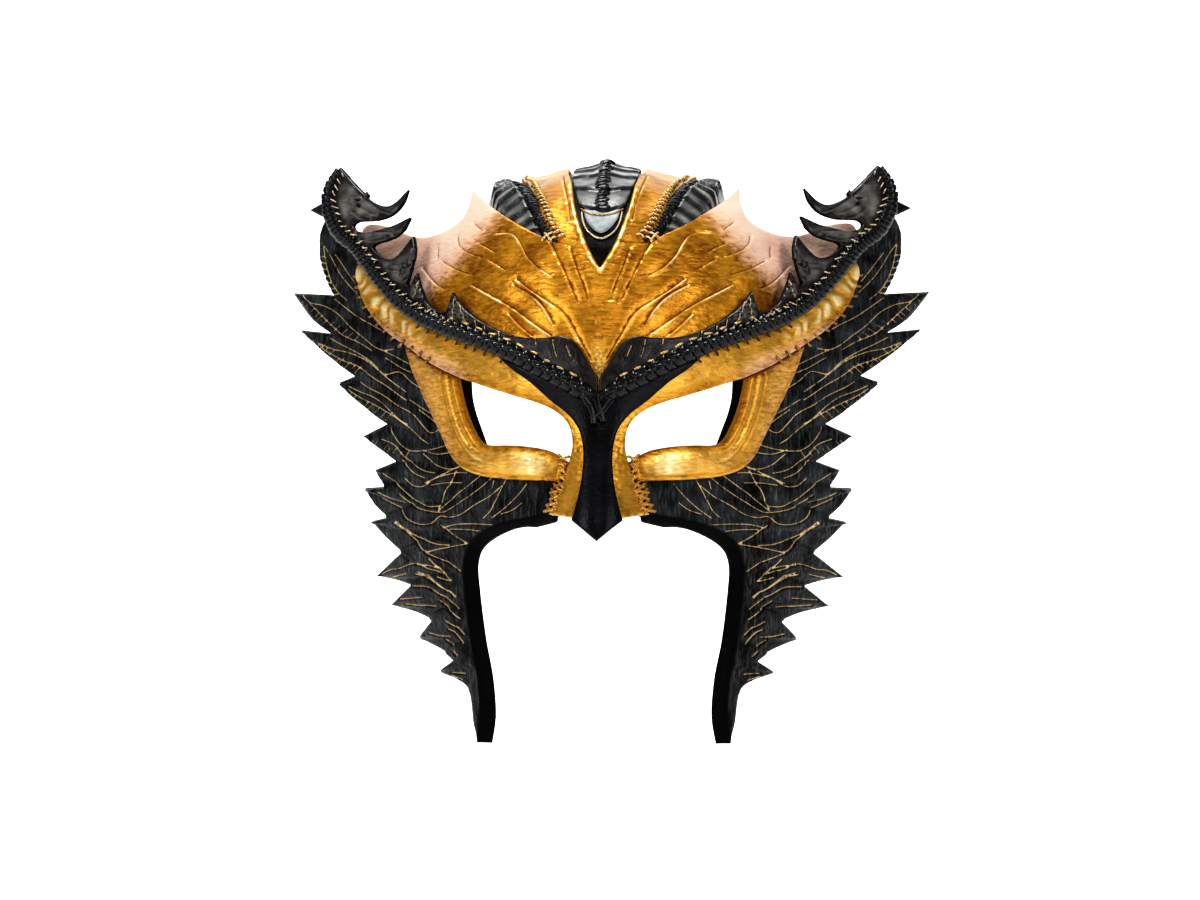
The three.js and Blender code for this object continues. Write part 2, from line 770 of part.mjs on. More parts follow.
const mask = new THREE.Group();
mask.name = "leather_mask";

function addPiece(name, body, material) {
  const mesh = new THREE.Mesh(toGeometry(body), material);
  mesh.name = name;
  mask.add(mesh);
}

function addPair(name, body, material) {
  const geometry = toGeometry(body);
  for (const [side, mirror] of [["right", 1], ["left", -1]]) {
    const mesh = new THREE.Mesh(geometry, material);
    mesh.name = `${name}_${side}`;
    mesh.scale.x = mirror;
    mask.add(mesh);
  }
}

addPiece("forehead_plate", makeForehead(), goldLeather);
addPiece("crown_strip", makeStrip(), blackLeather);
addPiece("crown_crest", makeCrest(), blackLeather);
addPiece("crown_scale", makeScale(), greyLeather);
addPair("crown_side", makeCrownSide(), blackLeather);
addPair("brow", makeBrow(), blackLeather);
addPiece("beak", makeBeak(), blackLeather);
addPair("eyelid", makeEyelid(), goldLeather);
addPair("eye_frame", makeEyeFrame(), goldLeather);
addPair("wing", makeWing(), blackLeather);

export default mask;
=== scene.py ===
import math
import bpy
import numpy as np
from mathutils import Matrix, Vector
from mathutils.geometry import delaunay_2d_cdt


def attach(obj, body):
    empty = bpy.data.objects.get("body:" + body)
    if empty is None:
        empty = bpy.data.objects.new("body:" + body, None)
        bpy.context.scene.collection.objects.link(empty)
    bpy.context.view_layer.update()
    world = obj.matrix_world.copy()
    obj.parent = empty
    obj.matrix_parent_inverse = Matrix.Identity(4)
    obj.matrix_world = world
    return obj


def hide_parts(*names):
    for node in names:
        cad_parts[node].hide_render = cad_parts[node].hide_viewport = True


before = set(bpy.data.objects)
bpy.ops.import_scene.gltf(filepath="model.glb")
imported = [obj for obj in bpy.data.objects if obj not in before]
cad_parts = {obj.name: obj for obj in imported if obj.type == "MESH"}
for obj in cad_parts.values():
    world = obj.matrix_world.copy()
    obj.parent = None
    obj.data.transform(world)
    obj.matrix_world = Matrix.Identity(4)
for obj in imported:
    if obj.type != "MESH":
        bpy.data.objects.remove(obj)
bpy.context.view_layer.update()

bpy.ops.object.select_all(action="DESELECT")
mm = 0.001  # tables are in millimetres, the scene in metres

# a level camera a little to the right of the nose
view = {"turn": 2.4, "distance": 1100, "height": -9.4, "lens": 88, "sensor": 36}


def addCamera():
    turn = math.radians(view["turn"])
    away = view["distance"] * mm
    place = (away * math.sin(turn), -away * math.cos(turn), view["height"] * mm)
    bpy.ops.object.camera_add(location=place, rotation=(math.radians(90), 0, turn))
    camera = bpy.context.object
    camera.name = "camera"
    camera.data.lens = view["lens"]
    camera.data.sensor_width = view["sensor"]
    bpy.context.scene.camera = camera


addCamera()
print("camera set")


# curves, lines and loops
def rowAt(rows, at):
    # values of all columns of a table on a smooth curve through its rows, the first column is the key
    table = np.array(rows, float)
    keys = table[:, 0]
    slopes = np.empty_like(table)
    slopes[1:-1] = (table[2:] - table[:-2]) / (keys[2:] - keys[:-2])[:, None]
    slopes[0] = (table[1] - table[0]) / (keys[1] - keys[0])
    slopes[-1] = (table[-1] - table[-2]) / (keys[-1] - keys[-2])
    at = np.clip(np.asarray(at, float), keys[0], keys[-1])
    i = np.clip(np.searchsorted(keys, at) - 1, 0, len(keys) - 2)
    span = (keys[i + 1] - keys[i])[..., None]
    s = (at - keys[i])[..., None] / span
    start = table[i] * (1 + 2 * s) * (1 - s) ** 2
    end = table[i + 1] * s * s * (3 - 2 * s)
    bend = slopes[i] * s * (1 - s) ** 2 - slopes[i + 1] * s * s * (1 - s)
    return np.moveaxis(start + end + bend * span, -1, 0)[1:]


def ramp(low, high, at):
    s = np.clip((at - low) / (high - low), 0, 1)
    return s * s * (3 - 2 * s)


def unit(vectors):
    return vectors / np.maximum(np.linalg.norm(vectors, axis=-1, keepdims=True), 1e-9)


def bump(width, at):
    # smooth hump of height one
    return np.exp(-((at / width) ** 2))


def smoothRun(points, parts=16):
    # curve through points
    points = np.array(points, float)
    if len(points) < 3:
        return points
    ends = np.vstack([points[:1], points, points[-1:]])
    run = []
    for i in range(len(points) - 1):
        before, start, stop, after = ends[i:i + 4]
        t = np.linspace(0, 1, parts, endpoint=False)[:, None]
        leave, arrive = (stop - before) / 2, (after - start) / 2
        run.append((2 * start - 2 * stop + leave + arrive) * t ** 3
                   + (3 * stop - 3 * start - 2 * leave - arrive) * t ** 2 + leave * t + start)
    return np.vstack(run + [points[-1:]])


def lengthsAlong(points):
    # length of a line up to each of its points
    return np.concatenate([[0], np.cumsum(np.linalg.norm(np.diff(points, axis=0), axis=1))])


def countedRun(points, count):
    # the same line with this many points
    lengths = lengthsAlong(points)
    at = np.linspace(0, lengths[-1], count)
    return np.stack([np.interp(at, lengths, points[:, k]) for k in range(points.shape[1])], -1)


def evenRun(points, spacing):
    # the same line with points at even distances
    length = np.linalg.norm(np.diff(points, axis=0), axis=1).sum()
    return countedRun(points, max(1, round(length / spacing)) + 1)


def evenRuns(lines, spacing=0.9):
    return [evenRun(line, spacing) for line in lines]


def offsetRun(line, side):
    # the same line moved to its left by a distance
    run = unit(np.gradient(line, axis=0))
    return line + side * np.stack([-run[:, 1], run[:, 0]], -1)


def outlineLoop(runs, spacing, mirrored=False):
    # each run starts at a corner and is smooth up to the next run's corner
    loop = []
    last = len(runs) - 1 if mirrored else len(runs)
    for i in range(last):
        chain = list(runs[i]) + [runs[(i + 1) % len(runs)][0]]
        loop.append(evenRun(smoothRun(chain), spacing)[:-1])
    if mirrored:
        loop.append(np.array([runs[-1][0]], float))
    loop = np.vstack(loop)
    if mirrored:
        other = loop[loop[:, 0] > 0.05][::-1] * (-1, 1)
        loop = np.vstack([loop, other])
    return loop


def nearestLine(lines, points, most=6.0):
    # distance to the nearest of some lines, up to a limit, length along that line and rise above it
    starts = np.vstack([line[:-1] for line in lines])
    runs = np.vstack([line[1:] for line in lines]) - starts
    sizes = np.maximum(np.linalg.norm(runs, axis=1), 1e-9)
    before = np.concatenate([lengthsAlong(line)[:-1] for line in lines])
    lows = np.minimum(starts[:, 1], starts[:, 1] + runs[:, 1]) - most
    highs = np.maximum(starts[:, 1], starts[:, 1] + runs[:, 1]) + most
    gap = np.full(len(points), float(most))
    along = np.zeros(len(points))
    above = np.zeros(len(points))
    order = np.argsort(points[:, 1])
    for i in range(0, len(points), 400):
        some = order[i:i + 400]
        near = np.nonzero((lows < points[some[-1], 1]) & (highs > points[some[0], 1]))[0]
        if not len(near):
            continue
        off = points[some][:, None] - starts[near]
        share = np.clip((off * runs[near]).sum(2) / sizes[near] ** 2, 0, 1)
        off -= share[..., None] * runs[near]
        far = (off ** 2).sum(2)
        k = far.argmin(1)
        each = np.arange(len(some))
        gap[some] = np.sqrt(far[each, k])
        along[some] = before[near[k]] + share[each, k] * sizes[near[k]]
        above[some] = off[each, k, 1]
    return np.minimum(gap, most), along, above


def lineGap(lines, points, most=6.0):
    return nearestLine(lines, points, most)[0]


def lineFoot(line, points):
    # nearest place on one line: distance, share along it by point number, side (above is positive)
    runs = line[1:] - line[:-1]
    longs = (runs ** 2).sum(1)
    gap = np.empty(len(points))
    place = np.empty(len(points))
    side = np.empty(len(points))
    for i in range(0, len(points), 1500):
        part = points[i:i + 1500]
        off = part[:, None] - line[:-1]
        share = np.clip((off * runs).sum(2) / longs, 0, 1)
        off -= share[..., None] * runs
        far = (off ** 2).sum(2)
        k = far.argmin(1)
        each = np.arange(len(part))
        gap[i:i + 1500] = np.sqrt(far[each, k])
        place[i:i + 1500] = k + share[each, k]
        side[i:i + 1500] = runs[k, 0] * off[each, k, 1] - runs[k, 1] * off[each, k, 0]
    return gap, place, side


def insideLoop(loop, points):
    starts, ends = loop, np.roll(loop, -1, axis=0)
    lows, highs = np.minimum(starts[:, 1], ends[:, 1]), np.maximum(starts[:, 1], ends[:, 1])
    rises = np.where(highs - lows < 1e-9, 1e-9, ends[:, 1] - starts[:, 1])
    slopes = (ends[:, 0] - starts[:, 0]) / rises
    inside = np.zeros(len(points), bool)
    order = np.argsort(points[:, 1])
    for i in range(0, len(points), 400):
        some = order[i:i + 400]
        near = (lows <= points[some[-1], 1]) & (highs >= points[some[0], 1])
        x, z = points[some, :1], points[some, 1:]
        spans = (starts[near, 1] > z) != (ends[near, 1] > z)
        crossing = starts[near, 0] + (z - starts[near, 1]) * slopes[near]
        inside[some] = (spans & (x < crossing)).sum(1) % 2 == 1
    return inside


def waver(points, size, seed):
    # gentle unevenness of hand-moulded leather, about minus one to one
    draw = np.random.default_rng(seed)
    total = np.zeros(len(points))
    for turn in range(7):
        angle, phase = draw.uniform(0, 2 * math.pi, 2)
        wave = 2 * math.pi / (size * draw.uniform(0.7, 1.5))
        along = points[:, 0] * math.cos(angle) + points[:, 1] * math.sin(angle)
        total += np.sin(along * wave + phase)
    return total / 3.5


# the form that the leather is moulded on
faceForm = [  # z, front, sweep, bend, noseRise, noseWidth
    (-125, -18, 2.3, 38, 0, 14), (-90, -13, 2.1, 42, 0, 14), (-62, -9, 1.8, 48, 6, 14),
    (-42, -6, 1.55, 53, 19, 14), (-20, -5, 1.4, 57, 12, 12.5), (0, -4.5, 1.34, 60, 4.5, 12),
    (20, -6, 1.3, 60, 1.5, 13), (40, -5, 1.28, 60, 0, 14), (60, -2, 1.26, 60, 0, 14),
    (100, 8, 1.24, 60, 0, 14)]
crownForm = [  # step, y, z, back, down, bend
    (0, -6, 8, 1.3, 0, 60), (20, -6, 28, 1.3, 0, 60), (42, -1, 50, 1.28, 0.04, 61),
    (60, 7, 66, 1.25, 0.15, 62), (78, 19, 80, 1.1, 0.4, 63), (97, 35, 91, 0.9, 0.7, 64),
    (116, 54, 97.4, 0.65, 0.9, 66), (136, 74, 101, 0.45, 1, 68), (154, 92, 101.8, 0.35, 1, 70),
    (172, 110, 100.4, 0.35, 1, 70)]
crownSides = {"drop": 18, "dropWidth": 42, "flareReach": (20, 44),
              "templeSetback": 8, "templeReach": (52, 84)}
layers = {"low": 2.0, "mid": 4.3, "top": 6.6, "wall": 2.0, "gap": 0.3}  # heights of outer sides


def faceSurface(x, z):
    front, sweep, bend, noseRise, noseWidth = rowAt(faceForm, z)
    y = front + sweep * (np.hypot(x, bend) - bend) - noseRise * bump(noseWidth, x)
    return np.stack([x, y, z], -1)


def crownSurface(flare):
    # step is the way over the crown; a flare lifts its sides
    def surface(x, step):
        y, z, back, down, bend = rowAt(crownForm, step)
        kept = 1 - flare * ramp(*crownSides["flareReach"], np.abs(x))
        drop = crownSides["drop"] * (1 - bump(crownSides["dropWidth"], x)) * kept
        temple = crownSides["templeSetback"] * ramp(*crownSides["templeReach"], np.abs(x))
        return np.stack([x, y + back * (np.hypot(x, bend) - bend) + temple, z - down * drop], -1)
    return surface


def raised(surface, a, b, height):
    # points at a height above the form
    small = 0.4
    across = np.cross(surface(a + small, b) - surface(a - small, b),
                      surface(a, b + small) - surface(a, b - small))
    across /= np.linalg.norm(across, axis=-1, keepdims=True)
    return surface(a, b) + across * np.asarray(height)[..., None]


def seenPlace(surface, seen, height):
    # points at a height above the form that show at x and z in the front view
    x, z = seen[:, 0], seen[:, 1]
    a, b = x.copy(), z.copy()
    height = np.broadcast_to(height, x.shape)
    for turn in range(28):  # half steps, because sharp bends overshoot
        point = raised(surface, a, b, height)
        scale = 1 + point[:, 1] / view["distance"]
        a += 0.5 * (x * scale - point[:, 0])
        b += 0.5 * (view["height"] + (z - view["height"]) * scale - point[:, 2])
    return raised(surface, a, b, height)


def frontView(points):
    # x and z in the front view of points of the form
    scale = 1 + points[:, 1] / view["distance"]
    z = view["height"] + (points[:, 2] - view["height"]) / scale
    return np.stack([points[:, 0] / scale, z], -1)


# leather sheets are cut flat, moulded, given a wall, then tooled
def cutSheet(loop, spacing, marks=()):
    # flat sheet inside a loop with points along its tooled lines, so that they stay crisp
    closed = np.vstack([loop, loop[:1]])
    low, high = loop.min(0), loop.max(0)
    rowStep = spacing * 0.866  # rows of even triangles
    columns = np.arange(low[0], high[0], spacing)
    rows = np.arange(low[1], high[1], rowStep)
    field = np.stack(np.meshgrid(columns, rows), -1)
    field[1::2, :, 0] += spacing / 2
    field = field.reshape(-1, 2)
    field = field[insideLoop(loop, field)]
    field = field[lineGap([closed], field) > 0.9 * spacing]
    run = np.roll(loop, -1, 0) - np.roll(loop, 1, 0)
    inward = np.stack([-run[:, 1], run[:, 0]], -1) / np.linalg.norm(run, axis=1, keepdims=True)
    after = np.roll(loop, -1, 0)
    if (loop[:, 0] * after[:, 1] - loop[:, 1] * after[:, 0]).sum() < 0:  # drawn clockwise
        inward = -inward
    ring = loop + inward * 0.45 * spacing  # second row of points just inside the cut edge
    ring = ring[insideLoop(loop, ring)]
    ring = ring[lineGap([closed], ring) > 0.42 * spacing]
    points = [loop]
    edges = []
    count = len(loop)
    kept = []
    for mark in marks:
        mark = evenRun(mark, spacing)
        good = insideLoop(loop, mark) & (lineGap([closed], mark) > 0.5 * spacing)
        for i in range(len(mark) - 1):
            if good[i] and good[i + 1]:
                edges.append((count + i, count + i + 1))
                kept.append(mark[i:i + 2])
        points.append(np.where(good[:, None], mark, loop[:1]))
        count += len(mark)
    if kept:
        field = field[lineGap(kept, field) > 0.55 * spacing]
        ring = ring[lineGap(kept, ring) > 0.4 * spacing]
    points = np.vstack(points + [ring, field])
    found = delaunay_2d_cdt([Vector(p) for p in points], edges, [list(range(len(loop)))], 1, 1e-4)
    flat = np.array([tuple(p) for p in found[0]])
    triangles = np.array(found[2])
    a, b, c = flat[triangles[:, 0]], flat[triangles[:, 1]], flat[triangles[:, 2]]
    turn = (b[:, 0] - a[:, 0]) * (c[:, 1] - a[:, 1]) - (b[:, 1] - a[:, 1]) * (c[:, 0] - a[:, 0])
    triangles[turn < 0] = triangles[turn < 0][:, ::-1]
    used = np.unique(triangles)
    number = np.full(len(flat), -1)
    number[used] = np.arange(len(used))
    flat = flat[used]
    return flat, number[triangles], lineGap([closed], flat)


def makeActive(piece):
    bpy.ops.object.select_all(action="DESELECT")
    piece.select_set(True)
    bpy.context.view_layer.objects.active = piece


def newPiece(name, places, faces):
    mesh = bpy.data.meshes.new(name)
    mesh.from_pydata((np.asarray(places) * mm).tolist(), [], [list(face) for face in faces])
    mesh.update()
    piece = bpy.data.objects.new(name, mesh)
    bpy.context.collection.objects.link(piece)
    makeActive(piece)
    return piece


def leatherPiece(name, places, triangles, relief, marks, skins, wall=None):
    # moulded sheet with a wall behind it, relief on its outer side and marks for the materials
    piece = newPiece(name, places, triangles.tolist())
    count = len(places)
    normals = np.empty(count * 3, np.float32)
    piece.data.vertex_normals.foreach_get("vector", normals)
    for skin in skins:
        piece.data.materials.append(skin)
    solidify = piece.modifiers.new("wall", "SOLIDIFY")
    solidify.thickness = (wall or layers["wall"]) * mm
    solidify.offset = -1
    solidify.material_offset = 1
    solidify.material_offset_rim = 2
    bpy.ops.object.modifier_apply(modifier="wall")
    mesh = piece.data
    total = len(mesh.vertices)
    spots = np.empty(total * 3, np.float32)
    mesh.vertices.foreach_get("co", spots)
    spots = spots.reshape(-1, 3)
    spots[:count] += normals.reshape(-1, 3) * (relief * mm)[:, None]
    mesh.vertices.foreach_set("co", spots.ravel())
    for title, values in marks.items():
        whole = np.concatenate([values, values]).astype(np.float32)
        mesh.attributes.new(title, "FLOAT", "POINT").data.foreach_set("value", whole)
    mesh.update()
    bpy.ops.object.shade_smooth_by_angle(angle=math.radians(55))
    return piece


def roundedEdge(gap, radius):
    # how far a cut edge is rubbed down
    near = np.clip(radius - gap, 0, radius)
    return radius - np.sqrt(np.maximum(radius ** 2 - near ** 2, 0))


def groove(gap, width, depth, lip):
    # a line pressed with a tool: a furrow between two raised lips
    return -depth * bump(width, gap) + lip * bump(width, gap - 1.9 * width)


def mirrorPiece(piece, name):
    mesh = piece.data.copy()
    mesh.name = name
    mesh.transform(Matrix.Diagonal((-1, 1, 1, 1)))
    mesh.flip_normals()
    other = bpy.data.objects.new(name, mesh)
    bpy.context.collection.objects.link(other)
    return other


def handIn(piece, slot, *nodes):
    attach(piece, "root")
    if nodes:
        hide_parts(*nodes)


def handInPair(piece, slot, title, node=None):
    # the right-hand piece and its mirrored copy
    piece.name = title + "Right"
    other = mirrorPiece(piece, title + "Left")
    handIn(piece, slot, *([node + "_right"] if node else []))
    handIn(other, slot, *([node + "_left"] if node else []))


def onSquares(sheet):
    # lines drawn on squared paper, as lines in millimetres
    corner, square = np.array(sheet["corner"]), sheet["square"]
    return [smoothRun(corner - square * np.array(line, float)) for line in sheet["lines"]]


# materials
def tone(code):
    # sRGB hex to linear
    parts = [int(code[i:i + 2], 16) / 255 for i in (0, 2, 4)]
    return tuple(p / 12.92 if p <= 0.04045 else ((p + 0.055) / 1.055) ** 2.4 for p in parts) + (1,)


def setInputs(tree, node, inputs):
    # a socket is linked, anything else is a value
    for key, value in inputs.items():
        if isinstance(value, bpy.types.NodeSocket):
            tree.links.new(value, node.inputs[key])
        else:
            node.inputs[key].default_value = value


def addNode(tree, kind, inputs=None, stops=(), **settings):
    # stops are the places and colours of a colour ramp
    node = tree.nodes.new(kind)
    for key, value in settings.items():
        setattr(node, key, value)
    for i, (place, code) in enumerate(stops):
        node.color_ramp.elements[i].position = place
        node.color_ramp.elements[i].color = tone(code)
    setInputs(tree, node, inputs or {})
    return node


def newMaterial(name):
    material = bpy.data.materials.new(name)
    material.use_nodes = True
    tree = material.node_tree
    return material, tree, tree.nodes["Principled BSDF"]


def perMm(size):
    # texture scale for a pattern of this size in millimetres
    return 1 / (size * mm)


goldFinish = {  # sizes and depths in millimetres, the pores coarser than real ones so that they show
    "cloudSize": 14, "brushSize": 1.1, "brushDrawn": (0.22, 0.5, 1.0), "poreSize": 1.1,
    "gold": [(0.34, "7E4C0E"), (0.64, "CA9030")], "tan": [(0, "C89C84"), (1, "DFC2B0")],
    "furrow": "6A3408", "shine": [(0.35, "F0BE58"), (0.8, "FFEAB0")],
    "metal": 0.62, "bareMetal": 0.05, "roughness": (0.2, 0.46), "gloss": 0.2,
    "poreDepth": 0.2, "streakDepth": 0.4,
}


def goldPaintedLeather():
    # tan leather brushed with gold acrylic: warm metal glow, brush streaks, bare tan where it thins out
    material, tree, skin = newMaterial("goldPaintedLeather")
    finish = goldFinish
    at = addNode(tree, "ShaderNodeTexCoord").outputs["Object"]
    bare = addNode(tree, "ShaderNodeAttribute", attribute_name="bare").outputs["Fac"]
    lines = addNode(tree, "ShaderNodeAttribute", attribute_name="lineGap").outputs["Fac"]
    lip = addNode(tree, "ShaderNodeAttribute", attribute_name="lip").outputs["Fac"]
    cloud = addNode(tree, "ShaderNodeTexNoise",
                    {"Vector": at, "Scale": perMm(finish["cloudSize"]), "Detail": 4.0}).outputs["Fac"]
    grain = addNode(tree, "ShaderNodeTexVoronoi",
                    {"Vector": at, "Scale": perMm(finish["poreSize"])}, feature="SMOOTH_F1")
    drawn = addNode(tree, "ShaderNodeMapping", {"Vector": at, "Scale": finish["brushDrawn"]})
    brush = addNode(tree, "ShaderNodeTexNoise",
                    {"Vector": drawn.outputs[0], "Scale": perMm(finish["brushSize"]),
                     "Detail": 3.0, "Roughness": 0.55}).outputs["Fac"]
    patchy = addNode(tree, "ShaderNodeMix", {"Factor": 0.5, 2: cloud, 3: brush})
    gold = addNode(tree, "ShaderNodeValToRGB", {"Fac": patchy.outputs[0]}, finish["gold"])
    tan = addNode(tree, "ShaderNodeValToRGB", {"Fac": cloud}, finish["tan"])
    ragged = addNode(tree, "ShaderNodeMath", {0: brush, 1: 0.5, 2: bare}, operation="MULTIPLY_ADD")
    cover = addNode(tree, "ShaderNodeMapRange",
                    {"Value": ragged.outputs[0], "From Min": 0.4, "From Max": 1.05},
                    interpolation_type="SMOOTHSTEP").outputs[0]
    paint = addNode(tree, "ShaderNodeMix",
                    {"Factor": cover, 6: gold.outputs[0], 7: tan.outputs[0]}, data_type="RGBA")
    # painted shade: close to a tooled line or crease the paint darkens towards the furrow colour
    furrow = addNode(tree, "ShaderNodeMapRange",
                     {"Value": lines, "From Min": 0.05, "From Max": 0.4, "To Min": 0.75, "To Max": 0.0})
    shade = addNode(tree, "ShaderNodeMix",
                    {"Factor": furrow.outputs[0], 6: paint.outputs[2], 7: tone(finish["furrow"])},
                    data_type="RGBA")
    # painted highlight: the lip mark mixes pale gold and cream over the paint
    shine = addNode(tree, "ShaderNodeValToRGB", {"Fac": lip}, finish["shine"])
    paintedHighlight = addNode(tree, "ShaderNodeMix",
                      {"Factor": lip, 6: shade.outputs[2], 7: shine.outputs[0]}, data_type="RGBA")
    metal = addNode(tree, "ShaderNodeMapRange",
                    {"Value": cover, "From Max": 0.5, "To Min": finish["metal"],
                     "To Max": finish["bareMetal"]})
    rough = addNode(tree, "ShaderNodeMapRange",
                    {"Value": brush, "To Min": finish["roughness"][0], "To Max": finish["roughness"][1]})
    pores = addNode(tree, "ShaderNodeBump",
                    {"Height": grain.outputs["Distance"], "Strength": 0.22,
                     "Distance": finish["poreDepth"] * mm})
    streaks = addNode(tree, "ShaderNodeBump",
                      {"Height": brush, "Strength": 0.8, "Distance": finish["streakDepth"] * mm,
                       "Normal": pores.outputs[0]})
    setInputs(tree, skin, {
        "Base Color": paintedHighlight.outputs[2], "Metallic": metal.outputs[0], "Roughness": rough.outputs[0],
        "Normal": streaks.outputs[0], "Specular IOR Level": finish["gloss"]})
    return material


blackFinish = {  # sizes and depths in millimetres, the creases coarser than real ones so that they show
    "cloudSize": 9, "creaseSize": 2.2, "creaseDepth": 0.4, "poreDepth": 0.25,
    "plainAndPaintedShade": "060607", "paleAndPaintedSheen": "908E88", "rubbedGold": "D0B483", "goldMetal": 0.4,
}


def blackDyedLeather(name, dark, light, roughness, poreSize, gloss,
                     stretch=(1, 1, 1), crease=0.6, crisp=(0, 1)):
    # black-dyed leather sealed with a satin resin: cloudy charcoal, fine pores, gold rubbed into its lines
    material, tree, skin = newMaterial(name)
    finish = blackFinish
    at = addNode(tree, "ShaderNodeTexCoord").outputs["Object"]
    lines = addNode(tree, "ShaderNodeAttribute", attribute_name="lineGap").outputs["Fac"]
    hairlinesAndPaintedSheen = addNode(tree, "ShaderNodeAttribute", attribute_name="hairlinesAndPaintedSheen").outputs["Fac"]
    plainAndPaintedShade = addNode(tree, "ShaderNodeAttribute", attribute_name="plainAndPaintedShade").outputs["Fac"]
    cloud = addNode(tree, "ShaderNodeTexNoise",
                    {"Vector": at, "Scale": perMm(finish["cloudSize"]), "Detail": 6.0, "Roughness": 0.6})
    grain = addNode(tree, "ShaderNodeTexVoronoi",
                    {"Vector": at, "Scale": perMm(poreSize)}, feature="SMOOTH_F1")
    drawn = addNode(tree, "ShaderNodeMapping", {"Vector": at, "Scale": stretch})
    fleck = addNode(tree, "ShaderNodeTexNoise",
                    {"Vector": drawn.outputs[0], "Scale": perMm(finish["creaseSize"]),
                     "Detail": 5.0, "Roughness": 0.7}).outputs["Fac"]
    dye = addNode(tree, "ShaderNodeValToRGB", {"Fac": cloud.outputs["Fac"]}, [(0.35, dark), (0.7, light)])
    # darkened towards plain black where the leather is left plain, and as painted shade in the horn's lines,
    # the pleats' folds, the jaw, the crown strip and the eye lining
    quiet = addNode(tree, "ShaderNodeMix",
                    {"Factor": plainAndPaintedShade, 6: dye.outputs[0], 7: tone(finish["plainAndPaintedShade"])}, data_type="RGBA")
    strands = addNode(tree, "ShaderNodeMapRange",
                      {"Value": fleck, "From Min": crisp[0], "From Max": crisp[1]})
    # pale grey mixed in by the comb mark: real pale hairlines on the wings, painted sheen on the horn, beside
    # its lines and along the crown's pleats
    paleAndPaintedSheen = addNode(tree, "ShaderNodeMath", {0: hairlinesAndPaintedSheen, 1: strands.outputs[0]}, operation="MULTIPLY")
    hairlinesAndSheenMixed = addNode(tree, "ShaderNodeMix",
                     {"Factor": paleAndPaintedSheen.outputs[0], 6: quiet.outputs[2], 7: tone(finish["paleAndPaintedSheen"])},
                     data_type="RGBA")
    rubbed = addNode(tree, "ShaderNodeMapRange",
                     {"Value": lines, "From Min": 0.06, "From Max": 0.22, "To Min": 1.0, "To Max": 0.0})
    gaps = addNode(tree, "ShaderNodeMapRange", {"Value": fleck, "From Min": 0.36, "From Max": 0.52})
    gold = addNode(tree, "ShaderNodeMath",
                   {0: rubbed.outputs[0], 1: gaps.outputs[0]}, operation="MULTIPLY").outputs[0]
    paint = addNode(tree, "ShaderNodeMix",
                    {"Factor": gold, 6: hairlinesAndSheenMixed.outputs[2], 7: tone(finish["rubbedGold"])},
                    data_type="RGBA")
    metal = addNode(tree, "ShaderNodeMath", {0: gold, 1: finish["goldMetal"]}, operation="MULTIPLY")
    rough = addNode(tree, "ShaderNodeMapRange",
                    {"Value": fleck, "To Min": roughness - 0.12, "To Max": roughness + 0.14})
    pores = addNode(tree, "ShaderNodeBump",
                    {"Height": grain.outputs["Distance"], "Strength": 0.35,
                     "Distance": finish["poreDepth"] * mm})
    creases = addNode(tree, "ShaderNodeBump",
                      {"Height": fleck, "Strength": crease, "Distance": finish["creaseDepth"] * mm,
                       "Normal": pores.outputs[0]})
    setInputs(tree, skin, {
        "Base Color": paint.outputs[2], "Metallic": metal.outputs[0], "Roughness": rough.outputs[0],
        "Normal": creases.outputs[0], "Specular IOR Level": gloss})
    return material


def waxedLace(name, dark, light):
    # thin leather lace, waxed: near black with a soft gloss on each turn
    material, tree, skin = newMaterial(name)
    at = addNode(tree, "ShaderNodeTexCoord").outputs["Object"]
    wax = addNode(tree, "ShaderNodeTexNoise",
                  {"Vector": at, "Scale": perMm(1.5), "Detail": 5.0, "Roughness": 0.65}).outputs["Fac"]
    dye = addNode(tree, "ShaderNodeValToRGB", {"Fac": wax}, [(0.35, dark), (0.75, light)])
    rough = addNode(tree, "ShaderNodeMapRange", {"Value": wax, "To Min": 0.14, "To Max": 0.36})
    pores = addNode(tree, "ShaderNodeBump", {"Height": wax, "Strength": 0.4, "Distance": 0.3 * mm})
    setInputs(tree, skin, {
        "Base Color": dye.outputs[0], "Roughness": rough.outputs[0], "Normal": pores.outputs[0],
        "Specular IOR Level": 0.38})
    return material


def waxedThread(name, dark, light):
    # twisted waxed linen thread: slanted strands, drawn coarse enough to show, and a dull gloss
    material, tree, skin = newMaterial(name)
    at = addNode(tree, "ShaderNodeTexCoord").outputs["Object"]
    twist = addNode(tree, "ShaderNodeTexWave",
                    {"Vector": at, "Scale": perMm(2.4), "Distortion": 3.0, "Detail": 2.0},
                    bands_direction="DIAGONAL").outputs["Fac"]
    dye = addNode(tree, "ShaderNodeValToRGB", {"Fac": twist}, [(0, dark), (1, light)])
    strands = addNode(tree, "ShaderNodeBump", {"Height": twist, "Strength": 0.5, "Distance": 0.2 * mm})
    setInputs(tree, skin, {
        "Base Color": dye.outputs[0], "Normal": strands.outputs[0], "Roughness": 0.42, "Metallic": 0.25})
    return material


def roughLeather(name, dark, light):
    # flesh side or cut edge of the hide: matt, with a short nap
    material, tree, skin = newMaterial(name)
    at = addNode(tree, "ShaderNodeTexCoord").outputs["Object"]
    nap = addNode(tree, "ShaderNodeTexNoise",
                  {"Vector": at, "Scale": perMm(1.2), "Detail": 6.0, "Roughness": 0.7}).outputs["Fac"]
    dye = addNode(tree, "ShaderNodeValToRGB", {"Fac": nap}, [(0, dark), (1, light)])
    fuzz = addNode(tree, "ShaderNodeBump", {"Height": nap, "Strength": 0.6, "Distance": 0.3 * mm})
    setInputs(tree, skin, {
        "Base Color": dye.outputs[0], "Normal": fuzz.outputs[0], "Roughness": 0.85,
        "Specular IOR Level": 0.2})
    return material


goldSkin = goldPaintedLeather()
